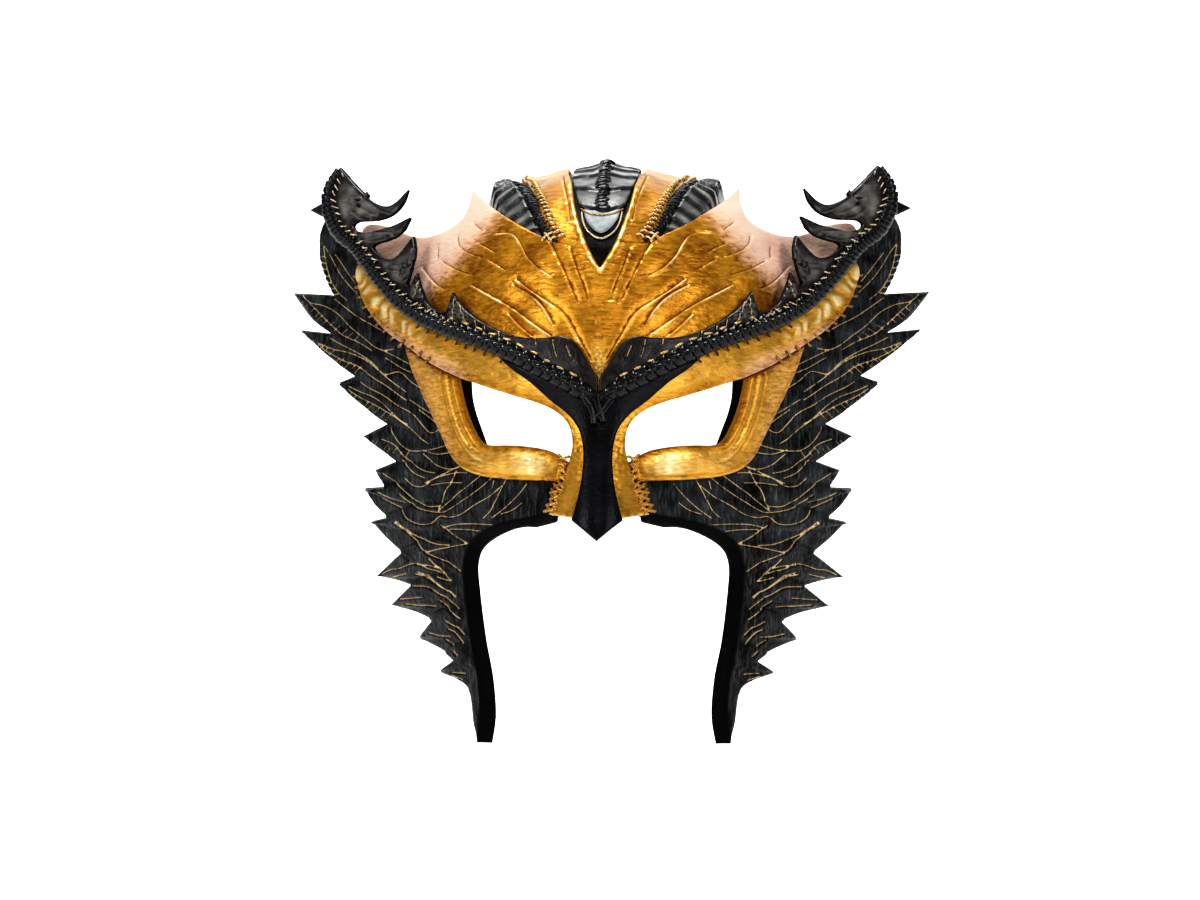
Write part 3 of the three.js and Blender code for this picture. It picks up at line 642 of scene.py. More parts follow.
# darkest and lightest dye, roughness, pore size, gloss, stretch and depth of the creases, strands
wingSkin = blackDyedLeather("blackFeatherLeather", "050505", "33373A", 0.32, 1.0, 0.04, (2.4, 0.8, 0.34), 0.6,
                            (0.5, 0.68))
browSkin = blackDyedLeather("blackBrowLeather", "0A0808", "2A2425", 0.3, 0.9, 0.26, (0.3, 0.6, 1.3), 0.45)
beakSkin = blackDyedLeather("blackBeakLeather", "040406", "101218", 0.3, 0.9, 0.16, (0.25, 0.6, 1.6), 0.4)
crownSkin = blackDyedLeather("blackCrownLeather", "0A0C0F", "2E3438", 0.3, 1.4, 0.4, (0.5, 0.5, 1), 0.3)
greySkin = blackDyedLeather("greyShieldLeather", "6E7478", "AEB4B7", 0.45, 1.2, 0.25)
laceSkin = waxedLace("blackLaceLeather", "030304", "101214")
goldThread = waxedThread("goldWaxedThread", "8A642C", "EBCB88")
blackThread = waxedThread("blackWaxedThread", "040404", "17181A")
bronzeThread = waxedThread("bronzeWaxedThread", "3A2206", "B8863A")
brassThread = waxedThread("brassWaxedThread", "6A3E0C", "E6AE4C")
paleThread = waxedThread("paleWaxedThread", "8A7A58", "D8CCA8")
tanInside = roughLeather("tanFleshSide", "8A5F40", "B58662")
tanEdge = roughLeather("goldCutEdge", "8A5A1C", "C08E3C")
blackInside = roughLeather("blackFleshSide", "120E0B", "241C16")
blackEdge = roughLeather("blackCutEdge", "050505", "101010")
goldSkins = [goldSkin, tanInside, tanEdge]


def blackSkins(skin):
    # outer side, flesh side and cut edge of a black sheet
    return [skin, blackInside, blackEdge]


def plainMarks(flat, paintedShade=0.0):
    # marks of a black sheet without tooled lines, darkened by an amount of painted shade
    far = np.full(len(flat), 5.0)
    return {"lineGap": far, "hairlinesAndPaintedSheen": 0 * far, "plainAndPaintedShade": 0 * far + paintedShade}


print("materials mixed")

# wings: one sheet for each cheek, with tooled feathers
wing = {
    "spacing": 0.55, "edge": 0.9, "lineWidth": 0.4, "lineDepth": 0.36, "lineLip": 0.2,
    "barbPitch": 2.1, "barbLean": 0.9, "barbRise": 0.08, "unevenness": 0.22,
    "tickPitch": 2.5, "tickedFeathers": 4, "tickWidth": 0.3, "tickDepth": 0.2, "tickDull": 0.09,
    "hairlines": 0.3, "jawPaintedShade": 0.9, "paintedShadeReach": (-34, -74),
    "covered": [(12, 3.5), (28, 7)],  # z, width that lies under the frame and the lid
    "outline": [
        [(98, 70)], [(106.5, 78.5), (109.6, 71), (109, 61)], [(104.2, 49)], [(120, 49.8), (112.6, 40)],
        [(104.4, 34.4)], [(117, 35.8), (104, 25)], [(95, 18.4)], [(102, 16), (90, 6)], [(82.5, 0.4)],
        [(92, -4), (85, -9)],
        [(79, -13.6)], [(88, -17)], [(83.6, -23.6)], [(92, -24), (88, -30)], [(83, -35)],
        [(89.5, -36.5), (83, -43)], [(77.4, -48)], [(88, -57), (80, -58.6)], [(74, -60.4)],
        [(83, -68), (73, -70.4)], [(65.6, -73.6)], [(71.5, -80.5), (63, -84)], [(57, -88.4)],
        [(63.5, -93), (56, -95.6), (51.6, -99.6), (50, -108)], [(48, -119.6)],
        [(41.6, -119.8), (40, -109), (41, -95), (43.8, -80), (46, -62), (46.4, -52), (43.4, -45.6),
         (33.6, -40)], [(17.6, -35.8), (11, -29)],
        [(9.6, -19), (9.4, -13.2), (12.6, -14.8), (18, -14.6), (30, -15.6), (45, -15.4), (54, -9.5),
         (61.5, 5), (66, 18), (69.8, 27.5), (76, 37.5), (83.5, 47.5), (89.5, 58.5)]],
    "mouth": [  # x, z, width folded in, turn
        (16.5, -35, 1.5, 0.8), (33.6, -40, 4, 1), (43.4, -45.6, 5.5, 1.5), (46.4, -52, 6.2, 1.9),
        (46, -62, 6.4, 2.1), (43.8, -80, 6.4, 2.3), (41, -95, 6.4, 2.4), (40, -109, 6.8, 2.4),
        (41.6, -120, 6.8, 2.4)],
    "crease": 3.0,
    "feathers": [  # root x, root z, tip x, tip z, half width
        (80, 27, 117.6, 48.8, 5.6), (75, 15, 114.4, 34.8, 7.2), (69, 1, 100.4, 15, 7),
        (63, -11, 90.4, -4.4, 5.6), (57, -20, 86.6, -17, 3.9), (47, -26, 90, -24.6, 3.6),
        (30, -30, 87.8, -36.6, 5), (53, -44, 86, -56.2, 5.6), (54, -57, 81, -67.4, 4.6),
        (52, -69, 70, -79.6, 4.4), (51, -82, 62, -92, 3.8)],
    "featherShape": [(0, 0.16), (0.25, 0.72), (0.55, 1), (0.8, 0.66), (1, 0.08)],
    "featherRise": 1.25,
}
# tooled lines drawn on squared paper, from the top left corner of each sheet
wingUpper = {"corner": (121.5, 54.4), "square": 0.075, "lines": [
    [(85, 75), (130, 112), (200, 128), (270, 165), (330, 225), (400, 280), (460, 330), (505, 350),
     (555, 345)],
    [(125, 115), (185, 170), (240, 225), (300, 275), (380, 312), (450, 352)],
    [(240, 92), (300, 130), (370, 180), (440, 220), (490, 250)],
    [(235, 290), (310, 330), (400, 375), (460, 415), (520, 470), (590, 460), (650, 510), (720, 555)],
    [(170, 315), (250, 345), (340, 365), (430, 405), (500, 460), (560, 515), (620, 560)],
    [(170, 322), (220, 360), (300, 400), (380, 430), (450, 480), (540, 540), (625, 600)],
    [(500, 350), (560, 380), (620, 410), (670, 435)],
    [(520, 390), (600, 440), (670, 470)],
    [(390, 510), (450, 545), (520, 580), (590, 625), (640, 655), (670, 680)],
    [(330, 530), (400, 560), (470, 590), (540, 640), (600, 700), (630, 720)],
    [(330, 545), (400, 590), (500, 640), (570, 680), (640, 740), (700, 790), (740, 820)],
    [(640, 600), (720, 650), (790, 690)],
    [(670, 680), (700, 720), (750, 765), (800, 745)],
    [(690, 650), (760, 700), (800, 730)],
    [(540, 735), (560, 770), (600, 820), (650, 850), (700, 855), (770, 845), (850, 820)],
    [(505, 795), (570, 825), (620, 880), (680, 930), (730, 955), (780, 965)],
    [(715, 850), (780, 872), (860, 862)],
    [(720, 870), (770, 920), (830, 945), (890, 940), (910, 920)],
]}
wingEar = {"corner": (115, 99.4), "square": 0.075, "lines": [
    [(98, 425), (130, 470), (170, 540), (225, 615), (275, 665)],
    [(96, 432), (112, 520), (140, 600), (175, 660), (225, 700)],
    [(160, 470), (215, 545), (262, 610)],
    [(82, 478), (108, 482)], [(84, 508), (112, 514)], [(90, 540), (120, 546)], [(98, 574), (128, 580)],
    [(106, 606), (138, 612)], [(116, 640), (152, 642)], [(132, 672), (172, 668)],
]}
wingCheek = {"corner": (93, -1.9), "square": 0.075, "lines": [
    [(245, 240), (280, 275), (340, 280), (400, 240), (470, 205), (525, 180)],
    [(230, 150), (290, 212), (350, 240)],
    [(345, 265), (420, 235), (500, 215), (560, 215)],
    [(380, 275), (450, 265), (530, 265)],
    [(130, 215), (200, 270), (250, 310), (300, 350), (360, 380), (420, 380)],
    [(105, 310), (170, 345), (230, 362)],
    [(110, 340), (170, 370), (215, 390)],
    [(215, 320), (270, 365), (330, 395), (420, 410), (470, 400), (560, 340), (640, 280), (700, 230)],
    [(225, 400), (260, 445), (320, 470), (380, 465), (430, 430), (480, 435), (540, 420), (610, 375),
     (680, 330), (740, 280)],
    [(420, 400), (455, 310), (505, 205)],
    [(425, 400), (480, 350), (550, 290), (630, 228)],
    [(650, 440), (690, 400), (720, 330), (770, 235)],
    [(690, 440), (760, 390), (820, 330), (870, 270)],
    [(740, 420), (800, 400), (845, 365)],
    [(690, 295), (700, 255)],
    [(195, 455), (260, 515), (340, 550), (410, 570), (470, 575)],
    [(185, 462), (240, 510), (300, 560), (350, 603), (430, 592), (560, 570)],
    [(430, 475), (480, 520), (560, 568)],
    [(450, 485), (530, 470), (690, 475)],
    [(470, 497), (560, 500), (640, 510)],
    [(110, 718), (160, 695), (205, 690), (260, 670), (310, 665), (350, 690), (430, 720)],
    [(165, 735), (240, 716)],
    [(355, 610), (420, 640), (480, 680), (550, 725)],
    [(370, 640), (400, 680), (435, 720)],
    [(300, 710), (370, 740), (430, 780), (490, 840)],
]}
wingJaw = {"corner": (87.4, -50.6), "square": 0.075, "lines": [
    [(230, 22), (300, 30), (360, 65), (405, 105)],
    [(215, 70), (300, 100), (370, 145), (420, 185)],
    [(330, 85), (400, 105)],
    [(200, 130), (290, 135), (360, 185), (440, 245)],
    [(130, 195), (250, 185)],
    [(160, 220), (310, 235)],
    [(330, 205), (390, 245), (445, 295)],
    [(290, 365), (340, 380), (385, 385)],
    [(365, 400), (410, 430)],
    [(380, 305), (430, 340), (465, 375)],
    [(390, 345), (430, 380), (460, 420)],
    [(400, 565), (465, 570)],
    [(390, 580), (450, 600)],
    [(410, 455), (435, 480)],
]}


def foldMouth(flat, places):
    # the leather along the mouth is folded back; places keep their spot in the front view
    mouth = np.array(wing["mouth"], float)
    parts = 8
    gap, place, _ = lineFoot(smoothRun(mouth[:, :2], parts), flat)
    knots = np.arange(len(mouth)) * parts
    band = np.interp(place, knots, mouth[:, 2]) - gap
    inside = np.maximum(band, 0)
    soft = inside ** 2 / (inside + wing["crease"] / 3)
    depth = places[:, 1] + soft * np.interp(place, knots, mouth[:, 3])
    scale = 1 + depth / view["distance"]
    z = view["height"] + (flat[:, 1] - view["height"]) * scale
    return np.stack([flat[:, 0] * scale, depth, z], -1), band


def featherRelief(flat):
    # rounded body of each feather, the upper one lying over the next
    height = np.zeros(len(flat))
    for rootX, rootZ, tipX, tipZ, half in wing["feathers"]:
        root, tip = np.array([rootX, rootZ]), np.array([tipX, tipZ])
        run = tip - root
        share = ((flat - root) @ run) / (run @ run)
        across = ((flat - root) @ np.array([-run[1], run[0]])) / np.linalg.norm(run)
        width = half * 1.15 * rowAt(wing["featherShape"], share)[0]
        body = np.clip(1 - (across / width) ** 2, 0, 1)
        rise = wing["featherRise"] * np.sqrt(body) * ramp(-0.02, 0.3, share) * (share < 1.02)
        height = np.maximum(height, rise)
    return height


def featherTicks():
    # short strokes over the lower half of the upper feathers
    draw = np.random.default_rng(11)
    ticks = []
    for rootX, rootZ, tipX, tipZ, half in wing["feathers"][:wing["tickedFeathers"]]:
        root, tip = np.array([rootX, rootZ]), np.array([tipX, tipZ])
        length = np.linalg.norm(tip - root)
        run = (tip - root) / length
        down = np.array([run[1], -run[0]])
        for share in np.arange(0.34, 0.93, wing["tickPitch"] / length):
            share = share + draw.uniform(-0.3, 0.3) * wing["tickPitch"] / length
            width = half * rowAt(wing["featherShape"], np.array([share]))[0][0]
            start = root + run * share * length + down * width * draw.uniform(0.1, 0.35)
            ticks.append(np.array([start, start + (down + 0.45 * run) * width * draw.uniform(0.35, 0.6)]))
    return ticks


def makeWing():
    loop = outlineLoop(wing["outline"], wing["spacing"])
    lines = [line for sheet in (wingUpper, wingEar, wingCheek, wingJaw) for line in onSquares(sheet)]
    ticks = featherTicks()
    flat, triangles, edgeGap = cutSheet(loop, wing["spacing"], lines + ticks)
    places, band = foldMouth(flat, seenPlace(faceSurface, flat, layers["low"]))
    gold, along, _ = nearestLine(evenRuns(lines), flat, 8)
    tickGap = lineGap(ticks, flat, 3)
    plainAndPaintedShade = ramp(-0.9, 0.1, band)  # the folded mouth edge isn't tooled
    tooled = 1 - plainAndPaintedShade
    # barbs comb away from each line
    phase = (along + wing["barbLean"] * gold) / wing["barbPitch"] + 0.25 * waver(flat, 9, 12)
    barbs = np.sin(2 * math.pi * phase) * ramp(0.5, 1.3, gold) * ramp(7.5, 5, gold) * tooled
    # feather bodies fade out under the frame and the lid
    inner = smoothRun(wing["outline"][-1] + [wing["outline"][0][0]])
    level, width = np.array(wing["covered"]).T
    under = np.interp(flat[:, 1], level, width)
    relief = featherRelief(flat) * tooled * ramp(under, under + 4.5, lineGap([inner], flat, 14))
    relief += groove(gold, wing["lineWidth"], wing["lineDepth"], wing["lineLip"]) * tooled
    relief += wing["barbRise"] * barbs - wing["tickDepth"] * bump(wing["tickWidth"], tickGap)
    relief += wing["unevenness"] * waver(flat, 12, 2) * tooled
    relief -= roundedEdge(edgeGap, wing["edge"])
    marks = {
        "lineGap": np.minimum(gold, tickGap + wing["tickDull"]) + 3 * plainAndPaintedShade,
        "hairlinesAndPaintedSheen": wing["hairlines"] * tooled * (0.7 + 0.3 * waver(flat, 8, 13)),
        # painted shade: the jaw darkens towards its lower end
        "plainAndPaintedShade": np.maximum(plainAndPaintedShade, wing["jawPaintedShade"] * ramp(*wing["paintedShadeReach"], flat[:, 1])),
    }
    piece = leatherPiece("wing", places, triangles, relief, marks, blackSkins(wingSkin))
    handInPair(piece, "black_leather", "wing", "wing")
    print("wing cut:", len(piece.data.polygons), "faces")


makeWing()

# brows: plates with spikes, claws and a horn
brow = {
    "spacing": 0.62, "edge": 0.7,
    "line": [  # x, z, lean of the plate above the spine
        (0, 9.4, 0), (20, 20.6, 0), (36.5, 29, 0), (53, 35, -0.1), (68, 41, -0.15), (79, 49, 0),
        (87.5, 59, 0.2), (94, 67, 0.3), (101, 73, 0.4), (105, 81.5, 0.4), (105, 89, 0.4),
        (101.5, 95.5, 0.4)],
    "outline": [
        [(0.2, 7.5), (20.5, 18.4), (37.5, 26.4), (54, 32.4), (69.5, 38.6), (81, 47.4), (89.8, 57.4),
         (96, 65), (103, 71)], [(107.4, 78)], [(113.5, 81)], [(107.8, 84), (107, 90.5)],
        [(101.5, 97), (96.5, 91.5), (90, 85.5), (84, 82.6), (79.5, 84)],
        [(74.8, 88.8), (77, 83.5), (81, 79.5), (87, 77.4), (94, 77), (96, 75), (93.5, 73), (88, 73.4),
         (81, 75)],
        [(73.8, 78.4), (76.5, 73.6), (81, 70.4), (87, 68.4), (88, 66.6), (84.5, 63.5), (80.5, 62.8),
         (77, 65.4)],
        [(72.4, 71.3), (71.6, 66), (73, 59), (74.6, 53.4), (73.4, 52.2)],
        [(70.8, 57.2), (69.2, 51.5), (66, 45), (60.5, 42.4), (58.4, 44.4)],
        [(56.8, 49.8), (53, 44.8), (48, 40.5), (42, 37), (35, 34.2), (28, 32.8), (21, 32.8), (14.5, 33.4),
         (9.8, 31.6), (5.8, 26.2), (3, 21.8), (1, 19)], [(0.2, 17)]],
    "ridgeHalf": 3.4,
    "goldLine": (0.4, 0.3, 0.2), "hornLine": (0.6, 0.45, 0.35),  # width, depth and lip of a pressed line
    "unevenness": 0.3, "hornShine": 0.45,
}
browLines = {"corner": (115, 99.4), "square": 0.075, "lines": [
    [(791, 680), (786, 760), (784, 835)], [(806, 690), (835, 770), (872, 852)],
    [(600, 600), (590, 650), (575, 690)], [(612, 600), (625, 650), (640, 700)],
    [(604, 722), (650, 745), (700, 770), (760, 798)],
    [(620, 715), (610, 745)], [(655, 735), (648, 765)], [(690, 755), (684, 785)],
    [(725, 775), (720, 805)],
    [(900, 800), (905, 850)], [(950, 830), (952, 880)], [(1022, 850), (1026, 895)],
    [(1300, 900), (1310, 950), (1320, 980)], [(1370, 930), (1390, 980)], [(1440, 1090), (1450, 1120)],
    [(1210, 890), (1215, 920)],
]}
hornLines = {"corner": (115, 99.4), "square": 0.075, "lines": [
    [(262, 140), (320, 190), (390, 238), (450, 258)], [(255, 200), (310, 240), (380, 268)],
    [(250, 250), (290, 280), (340, 290)], [(480, 255), (520, 230), (548, 195)],
    [(280, 362), (380, 352), (460, 356)], [(300, 392), (360, 396), (420, 386)],
    [(470, 372), (530, 352), (556, 338)],
    [(780, 730), (800, 733)], [(779, 770), (800, 772)], [(778, 806), (798, 808)],
    [(814, 738), (830, 730)], [(828, 776), (846, 768)], [(846, 815), (864, 806)],
    [(588, 636), (606, 640)], [(584, 664), (600, 668)], [(612, 640), (628, 634)],
    [(620, 672), (638, 664)], [(470, 520), (540, 505), (580, 450)],
    [(450, 545), (520, 540), (560, 520)], [(520, 600), (545, 580), (560, 560)],
]}


def spineLine():
    # the brow's spine in the front view
    return smoothRun([row[:2] for row in brow["line"]])


def browSurface(x, z):
    # the face form, leaning above the spine
    points = faceSurface(x, z)
    line = np.array(brow["line"], float)
    gap, place, side = lineFoot(line[:, :2], frontView(points.reshape(-1, 3)))
    above = np.where(side > 0, np.maximum(gap - brow["ridgeHalf"], 0), 0)
    lean = np.interp(place, np.arange(len(line)), line[:, 2])
    points[..., 1] += (above * lean).reshape(points.shape[:-1])
    return points


def makeBrow():
    loop = outlineLoop(brow["outline"], brow["spacing"])
    gold, horn = onSquares(browLines), onSquares(hornLines)
    flat, triangles, edgeGap = cutSheet(loop, brow["spacing"], gold + horn)
    places = seenPlace(browSurface, flat, layers["top"])
    goldGap = lineGap(evenRuns(gold), flat, 5)
    hornGap = lineGap(horn, flat, 5)
    relief = groove(goldGap, *brow["goldLine"]) + groove(hornGap, *brow["hornLine"])
    relief += brow["unevenness"] * (waver(flat, 7, 21) + waver(flat, 14, 22)) * ramp(1, 3, edgeGap)
    relief -= roundedEdge(edgeGap, brow["edge"])
    # painted sheen: the horn and the claws above the spine are painted paler; the horn's pressed lines get a
    # painted highlight beside them and painted shade in them
    spineGap, _, side = lineFoot(spineLine(), flat)
    sheen = ramp(70, 82, flat[:, 0]) * ramp(2.5, 6, spineGap) * (side > 0) * ramp(0.6, 2.2, edgeGap)
    sheen = sheen * (0.6 + 0.4 * waver(flat, 6, 23))
    hairlinesAndPaintedSheen = np.maximum(sheen, brow["hornShine"] * bump(0.4, hornGap - 0.8))
    marks = {"lineGap": goldGap, "hairlinesAndPaintedSheen": hairlinesAndPaintedSheen, "plainAndPaintedShade": ramp(0.3, 0, hornGap)}
    piece = leatherPiece("brow", places, triangles, relief, marks, blackSkins(browSkin))
    handInPair(piece, "black_leather", "brow", "brow")
    print("brow cut:", len(piece.data.polygons), "faces")


makeBrow()


# laces, knots and stitches are closed tubes
def tubeFaces(rings, sides):
    faces = []
    for i in range(rings - 1):
        for k in range(sides):
            j = (k + 1) % sides
            faces.append((i * sides + k, i * sides + j, (i + 1) * sides + j, (i + 1) * sides + k))
    faces.append(tuple(reversed(range(sides))))
    faces.append(tuple((rings - 1) * sides + k for k in range(sides)))
    return faces


def closedPiece(name, places, faces, skin):
    # closed form with all its faces turned outwards
    piece = newPiece(name, places, faces)
    bpy.ops.object.mode_set(mode="EDIT")
    bpy.ops.mesh.select_all(action="SELECT")
    bpy.ops.mesh.normals_make_consistent(inside=False)
    bpy.ops.object.mode_set(mode="OBJECT")
    bpy.ops.object.shade_smooth_by_angle(angle=math.radians(60))
    piece.data.materials.append(skin)
    return piece


def sweepTubes(name, paths, normals, wide, thick, sides, skin, square=1.0):
    # many short tubes in one mesh; paths and normals are lists of lines of equal length
    count, rings = paths.shape[:2]
    run = unit(np.gradient(paths, axis=1))
    side = unit(np.cross(run, normals))
    up = np.cross(side, run)
    angle = np.linspace(0, 2 * math.pi, sides, endpoint=False)
    flank, face = (np.sign(wave) * np.abs(wave) ** square for wave in (np.cos(angle), np.sin(angle)))
    wide = np.broadcast_to(wide, (count, rings))[..., None, None]
    thick = np.broadcast_to(thick, (count, rings))[..., None, None]
    places = paths[:, :, None] + side[:, :, None] * wide * flank[:, None]
    places = places + up[:, :, None] * thick * face[:, None]
    one = tubeFaces(rings, sides)
    faces = []
    for n in range(count):
        first = n * rings * sides
        faces += [tuple(first + corner for corner in each) for each in one]
    return closedPiece(name, places.reshape(-1, 3), faces, skin)


stitchShape = [(0, -0.7), (0.1, 0.35), (0.32, 1), (0.68, 1), (0.9, 0.35), (1, -0.7)]  # share, rise


def sewStitches(name, starts, ends, normals, row, skin):
    # short stitches that dip into the leather at both ends
    share, rise = np.array(stitchShape).T[:, None, :, None]
    paths = starts[:, None] + (ends - starts)[:, None] * share + normals[:, None] * rise * row["lift"]
    outward = np.repeat(normals[:, None], len(stitchShape), 1)
    return sweepTubes(name, paths, outward, row["radius"], row["radius"] * 0.8, 6, skin)


def acrossLine(line, row):
    # starts and ends of a row of stitches across a line; the line's left side is positive
    spots = evenRun(smoothRun(line), row["pitch"])
    run = unit(np.gradient(spots, axis=0))
    left = np.stack([-run[:, 1], run[:, 0]], -1)
    shake = np.random.default_rng(row["seed"]).uniform(-row["shake"], row["shake"], (len(spots), 3))
    starts = spots + left * (row["across"][0] + shake[:, :1]) - run * row["lean"]
    ends = spots + left * (row["across"][1] + shake[:, 1:2]) + run * (row["lean"] + shake[:, 2:])
    return starts, ends


def faceStitches(name, row, starts, ends, startHeight, endHeight, skin):
    # stitches between places in the front view
    a = seenPlace(faceSurface, starts, startHeight)
    b = seenPlace(faceSurface, ends, endHeight)
    normals = unit(seenPlace(faceSurface, starts, startHeight + 1) - a)
    return sewStitches(name, a, b, normals, row, skin)


# laced spine of the brow
spine = {
    "half": 2.9, "rise": 3.0, "under": 0.8, "spacing": 0.5, "sides": 20, "base": 5.5,
    "laces": [(0, 4.4), (0.22, 4.2), (0.4, 3.6), (0.6, 3.1), (0.75, 2.6), (1, 2.3)],  # share, pitch
    "braided": 0.66,  # up to this share there are two rows of laces, then single ribs
    "laceThick": 0.52, "laceHalf": 0.47, "proud": 0.3, "slant": 1.1, "shake": 0.35, "seed": 4, "square": 0.45,
    "upperRow": [62, 82, 105, 130, 155, 182, 200], "lowerRow": [118, 98, 75, 50, 25, -2, -20],
    "rib": [-14, 20, 55, 90, 125, 160, 196],  # degrees round the roll
    "tuck": [0.5, 0.88, 1.02, 1.05, 1.05, 1, 0.9],
    "knot": [[(-5.2, 10), (-3, 7), (-1.9, 3.6), (-1.6, 0.4)],
             [(4.8, 9.6), (2.8, 6.6), (0.9, 4.2), (-0.8, 2.8)],
             [(-0.8, 10), (0, 7), (1.2, 3.8), (2, 1.2)]],
    "knotHeight": 8.6, "knotHalf": 1.15, "knotThick": 0.75, "knotPoints": 9,
}


def makeSpine():
    # a leather roll along the brow with flat laces wrapped over it
    seen = evenRun(spineLine(), spine["spacing"])
    seen = seen[seen[:, 0] > 0.4]
    points = seenPlace(faceSurface, seen, spine["base"])
    normals = unit(seenPlace(faceSurface, seen, spine["base"] + 1) - points)
    across = unit(np.cross(np.gradient(points, axis=0), normals))
    lengths = lengthsAlong(points)
    whole = lengths[-1]
    share = lengths / whole
    taper = np.minimum(1, np.minimum(0.6 + share * 8, 0.4 + (1 - share) * 6))
    angle = np.linspace(0, 2 * math.pi, spine["sides"], endpoint=False)
    half = spine["half"] * taper[:, None] * np.cos(angle)
    up = np.where(np.sin(angle) > 0, spine["rise"], spine["under"]) * np.sin(angle) * taper[:, None]
    places = points[:, None] + across[:, None] * half[..., None] + normals[:, None] * up[..., None]
    roll = closedPiece("roll", places.reshape(-1, 3), tubeFaces(len(points), spine["sides"]), laceSkin)
    handInPair(roll, "black_leather", "browRoll")
    # laces are arcs over the roll, each leaning a little along it
    at = [1.2]
    while at[-1] < whole - 1.5:
        at.append(at[-1] + rowAt(spine["laces"], np.array([at[-1] / whole]))[0][0])
    at = np.array(at)
    draw = np.random.default_rng(spine["seed"])
    braided = at < spine["braided"] * whole
    pitch = rowAt(spine["laces"], at / whole)[0]
    wrapped = []
    for row, some, shift in (("upperRow", braided, 0.0), ("lowerRow", braided, 0.5), ("rib", ~braided, 0.0)):
        turn = np.radians(np.array(spine[row]))
        spot, step = at[some], pitch[some]
        lean = spine["slant"] + draw.uniform(-1, 1, (len(spot), 1)) * spine["shake"]
        where = np.clip((spot + shift * step)[:, None] + np.abs(np.cos(turn)) * lean, 0, whole)
        base, side, rise = (np.stack([np.interp(where, lengths, values[:, k]) for k in range(3)], -1)
                            for values in (points, across, normals))
        size = np.interp(where, lengths, taper) * draw.uniform(0.94, 1.06, (len(spot), 1))
        size = size * (np.array(spine["tuck"]) if row != "rib" else 1)
        out = side * (np.cos(turn) * (spine["half"] + spine["proud"]) * size)[..., None]
        out = out + rise * (np.sin(turn) * (spine["rise"] + spine["proud"]) * size)[..., None]
        wide = spine["laceHalf"] * step[:, None] * draw.uniform(0.88, 1.05, (len(spot), 1))
        wrapped.append((base + out, unit(out + 1e-6), np.repeat(wide, len(turn), 1)))
    paths, outward, wide = (np.concatenate([group[k] for group in wrapped]) for k in range(3))
    laces = sweepTubes("laces", paths, outward, wide, spine["laceThick"], 10, laceSkin, spine["square"])
    handInPair(laces, "black_leather", "browLaces")
    print("spine laced:", len(at), "laces")


def tieKnot():
    # strands of the lace that hang over the nose
    count = spine["knotPoints"]
    strands = np.array([countedRun(smoothRun(line), count) for line in spine["knot"]])
    paths = seenPlace(faceSurface, strands.reshape(-1, 2), spine["knotHeight"]).reshape(-1, count, 3)
    outward = np.broadcast_to(np.array([0, -1.0, 0]), paths.shape)
    knot = sweepTubes("browKnot", paths, outward, spine["knotHalf"], spine["knotThick"], 10, laceSkin,
                      spine["square"])
    handIn(knot, "black_leather")


makeSpine()
tieKnot()
# rows of stitches: across is where they start and end beside their line, reach is in x
threads = {
    "dash": {"reach": (11, 58), "pitch": 5.4, "across": (3.6, 3.4), "lean": 1.3, "shake": 0.35, "seed": 5,
             "radius": 0.42, "lift": 0.6},
    "tacks": {"reach": (58, 200), "pitch": 3.0, "across": (2.9, 1.4), "lean": 0.7, "shake": 0.7, "seed": 10,
              "radius": 0.24, "lift": 0.4, "heights": (7.0, 8.3)},
    "whip": {"reach": (24, 68), "pitch": 3.8, "across": (-2.2, -5.2), "lean": 0.2, "shake": 0.45, "seed": 6,
             "radius": 0.42, "lift": 0.7},
    "loops": {"pitch": 3.9, "across": (1.7, -1.6), "lean": 0.35, "shake": 0.3, "seed": 7,
              "radius": 0.55, "lift": 1.0},
    "cross": {"pitch": 2.2, "across": (2.1, -1.9), "lean": 1.2, "shake": 0.7, "seed": 8,
              "radius": 0.58, "lift": 1.2},
    "crossBack": {"pitch": 2.6, "across": (2.0, -2.0), "lean": -1.3, "shake": 0.7, "seed": 9},
    "lidSeam": [(66, 24.2), (70, 26.8), (76.5, 31), (83, 36), (88.4, 41.6), (92, 48), (94, 56)],
    "noseSeam": [(13.4, -12.6), (14.6, -20), (16.2, -26), (18.2, -32)],
    "lidEnd": 77, "frameFoot": -19.5,  # where the seams run off the gold pieces
}


def sewFace():
    line = evenRun(spineLine(), 1.0)
    top, mid, low = layers["top"], layers["mid"], layers["low"]

    def alongSpine(row):
        return acrossLine(line[(line[:, 0] > row["reach"][0]) & (line[:, 0] < row["reach"][1])], row)

    row = threads["dash"]
    dash = faceStitches("dash", row, *alongSpine(row), top + 0.3, top + 0.3, goldThread)
    handInPair(dash, "gold_leather", "browDash")
    row = threads["tacks"]
    tacks = faceStitches("tacks", row, *alongSpine(row), *row["heights"], paleThread)
    handInPair(tacks, "gold_leather", "browTacks")
    row = threads["whip"]
    whip = faceStitches("whip", row, *alongSpine(row), top + 0.4, mid, blackThread)
    handInPair(whip, "black_leather", "lidWhip")
    row = threads["loops"]
    starts, ends = acrossLine(threads["lidSeam"], row)
    endHeight = np.where(starts[:, 0] < threads["lidEnd"], mid, low)
    loops = faceStitches("loops", row, starts, ends, mid, endHeight, bronzeThread)
    handInPair(loops, "gold_leather", "lidLoops")
    row = threads["cross"]
    there, back = (acrossLine(threads["noseSeam"], threads[name]) for name in ("cross", "crossBack"))
    starts, ends = np.vstack([there[0], back[0]]), np.vstack([there[1], back[1]])
    startHeight = np.where(starts[:, 1] > threads["frameFoot"], mid, low)
    cross = faceStitches("cross", row, starts, ends, startHeight, mid, brassThread)
    handInPair(cross, "gold_leather", "noseCross")
    print("face sewn")


sewFace()

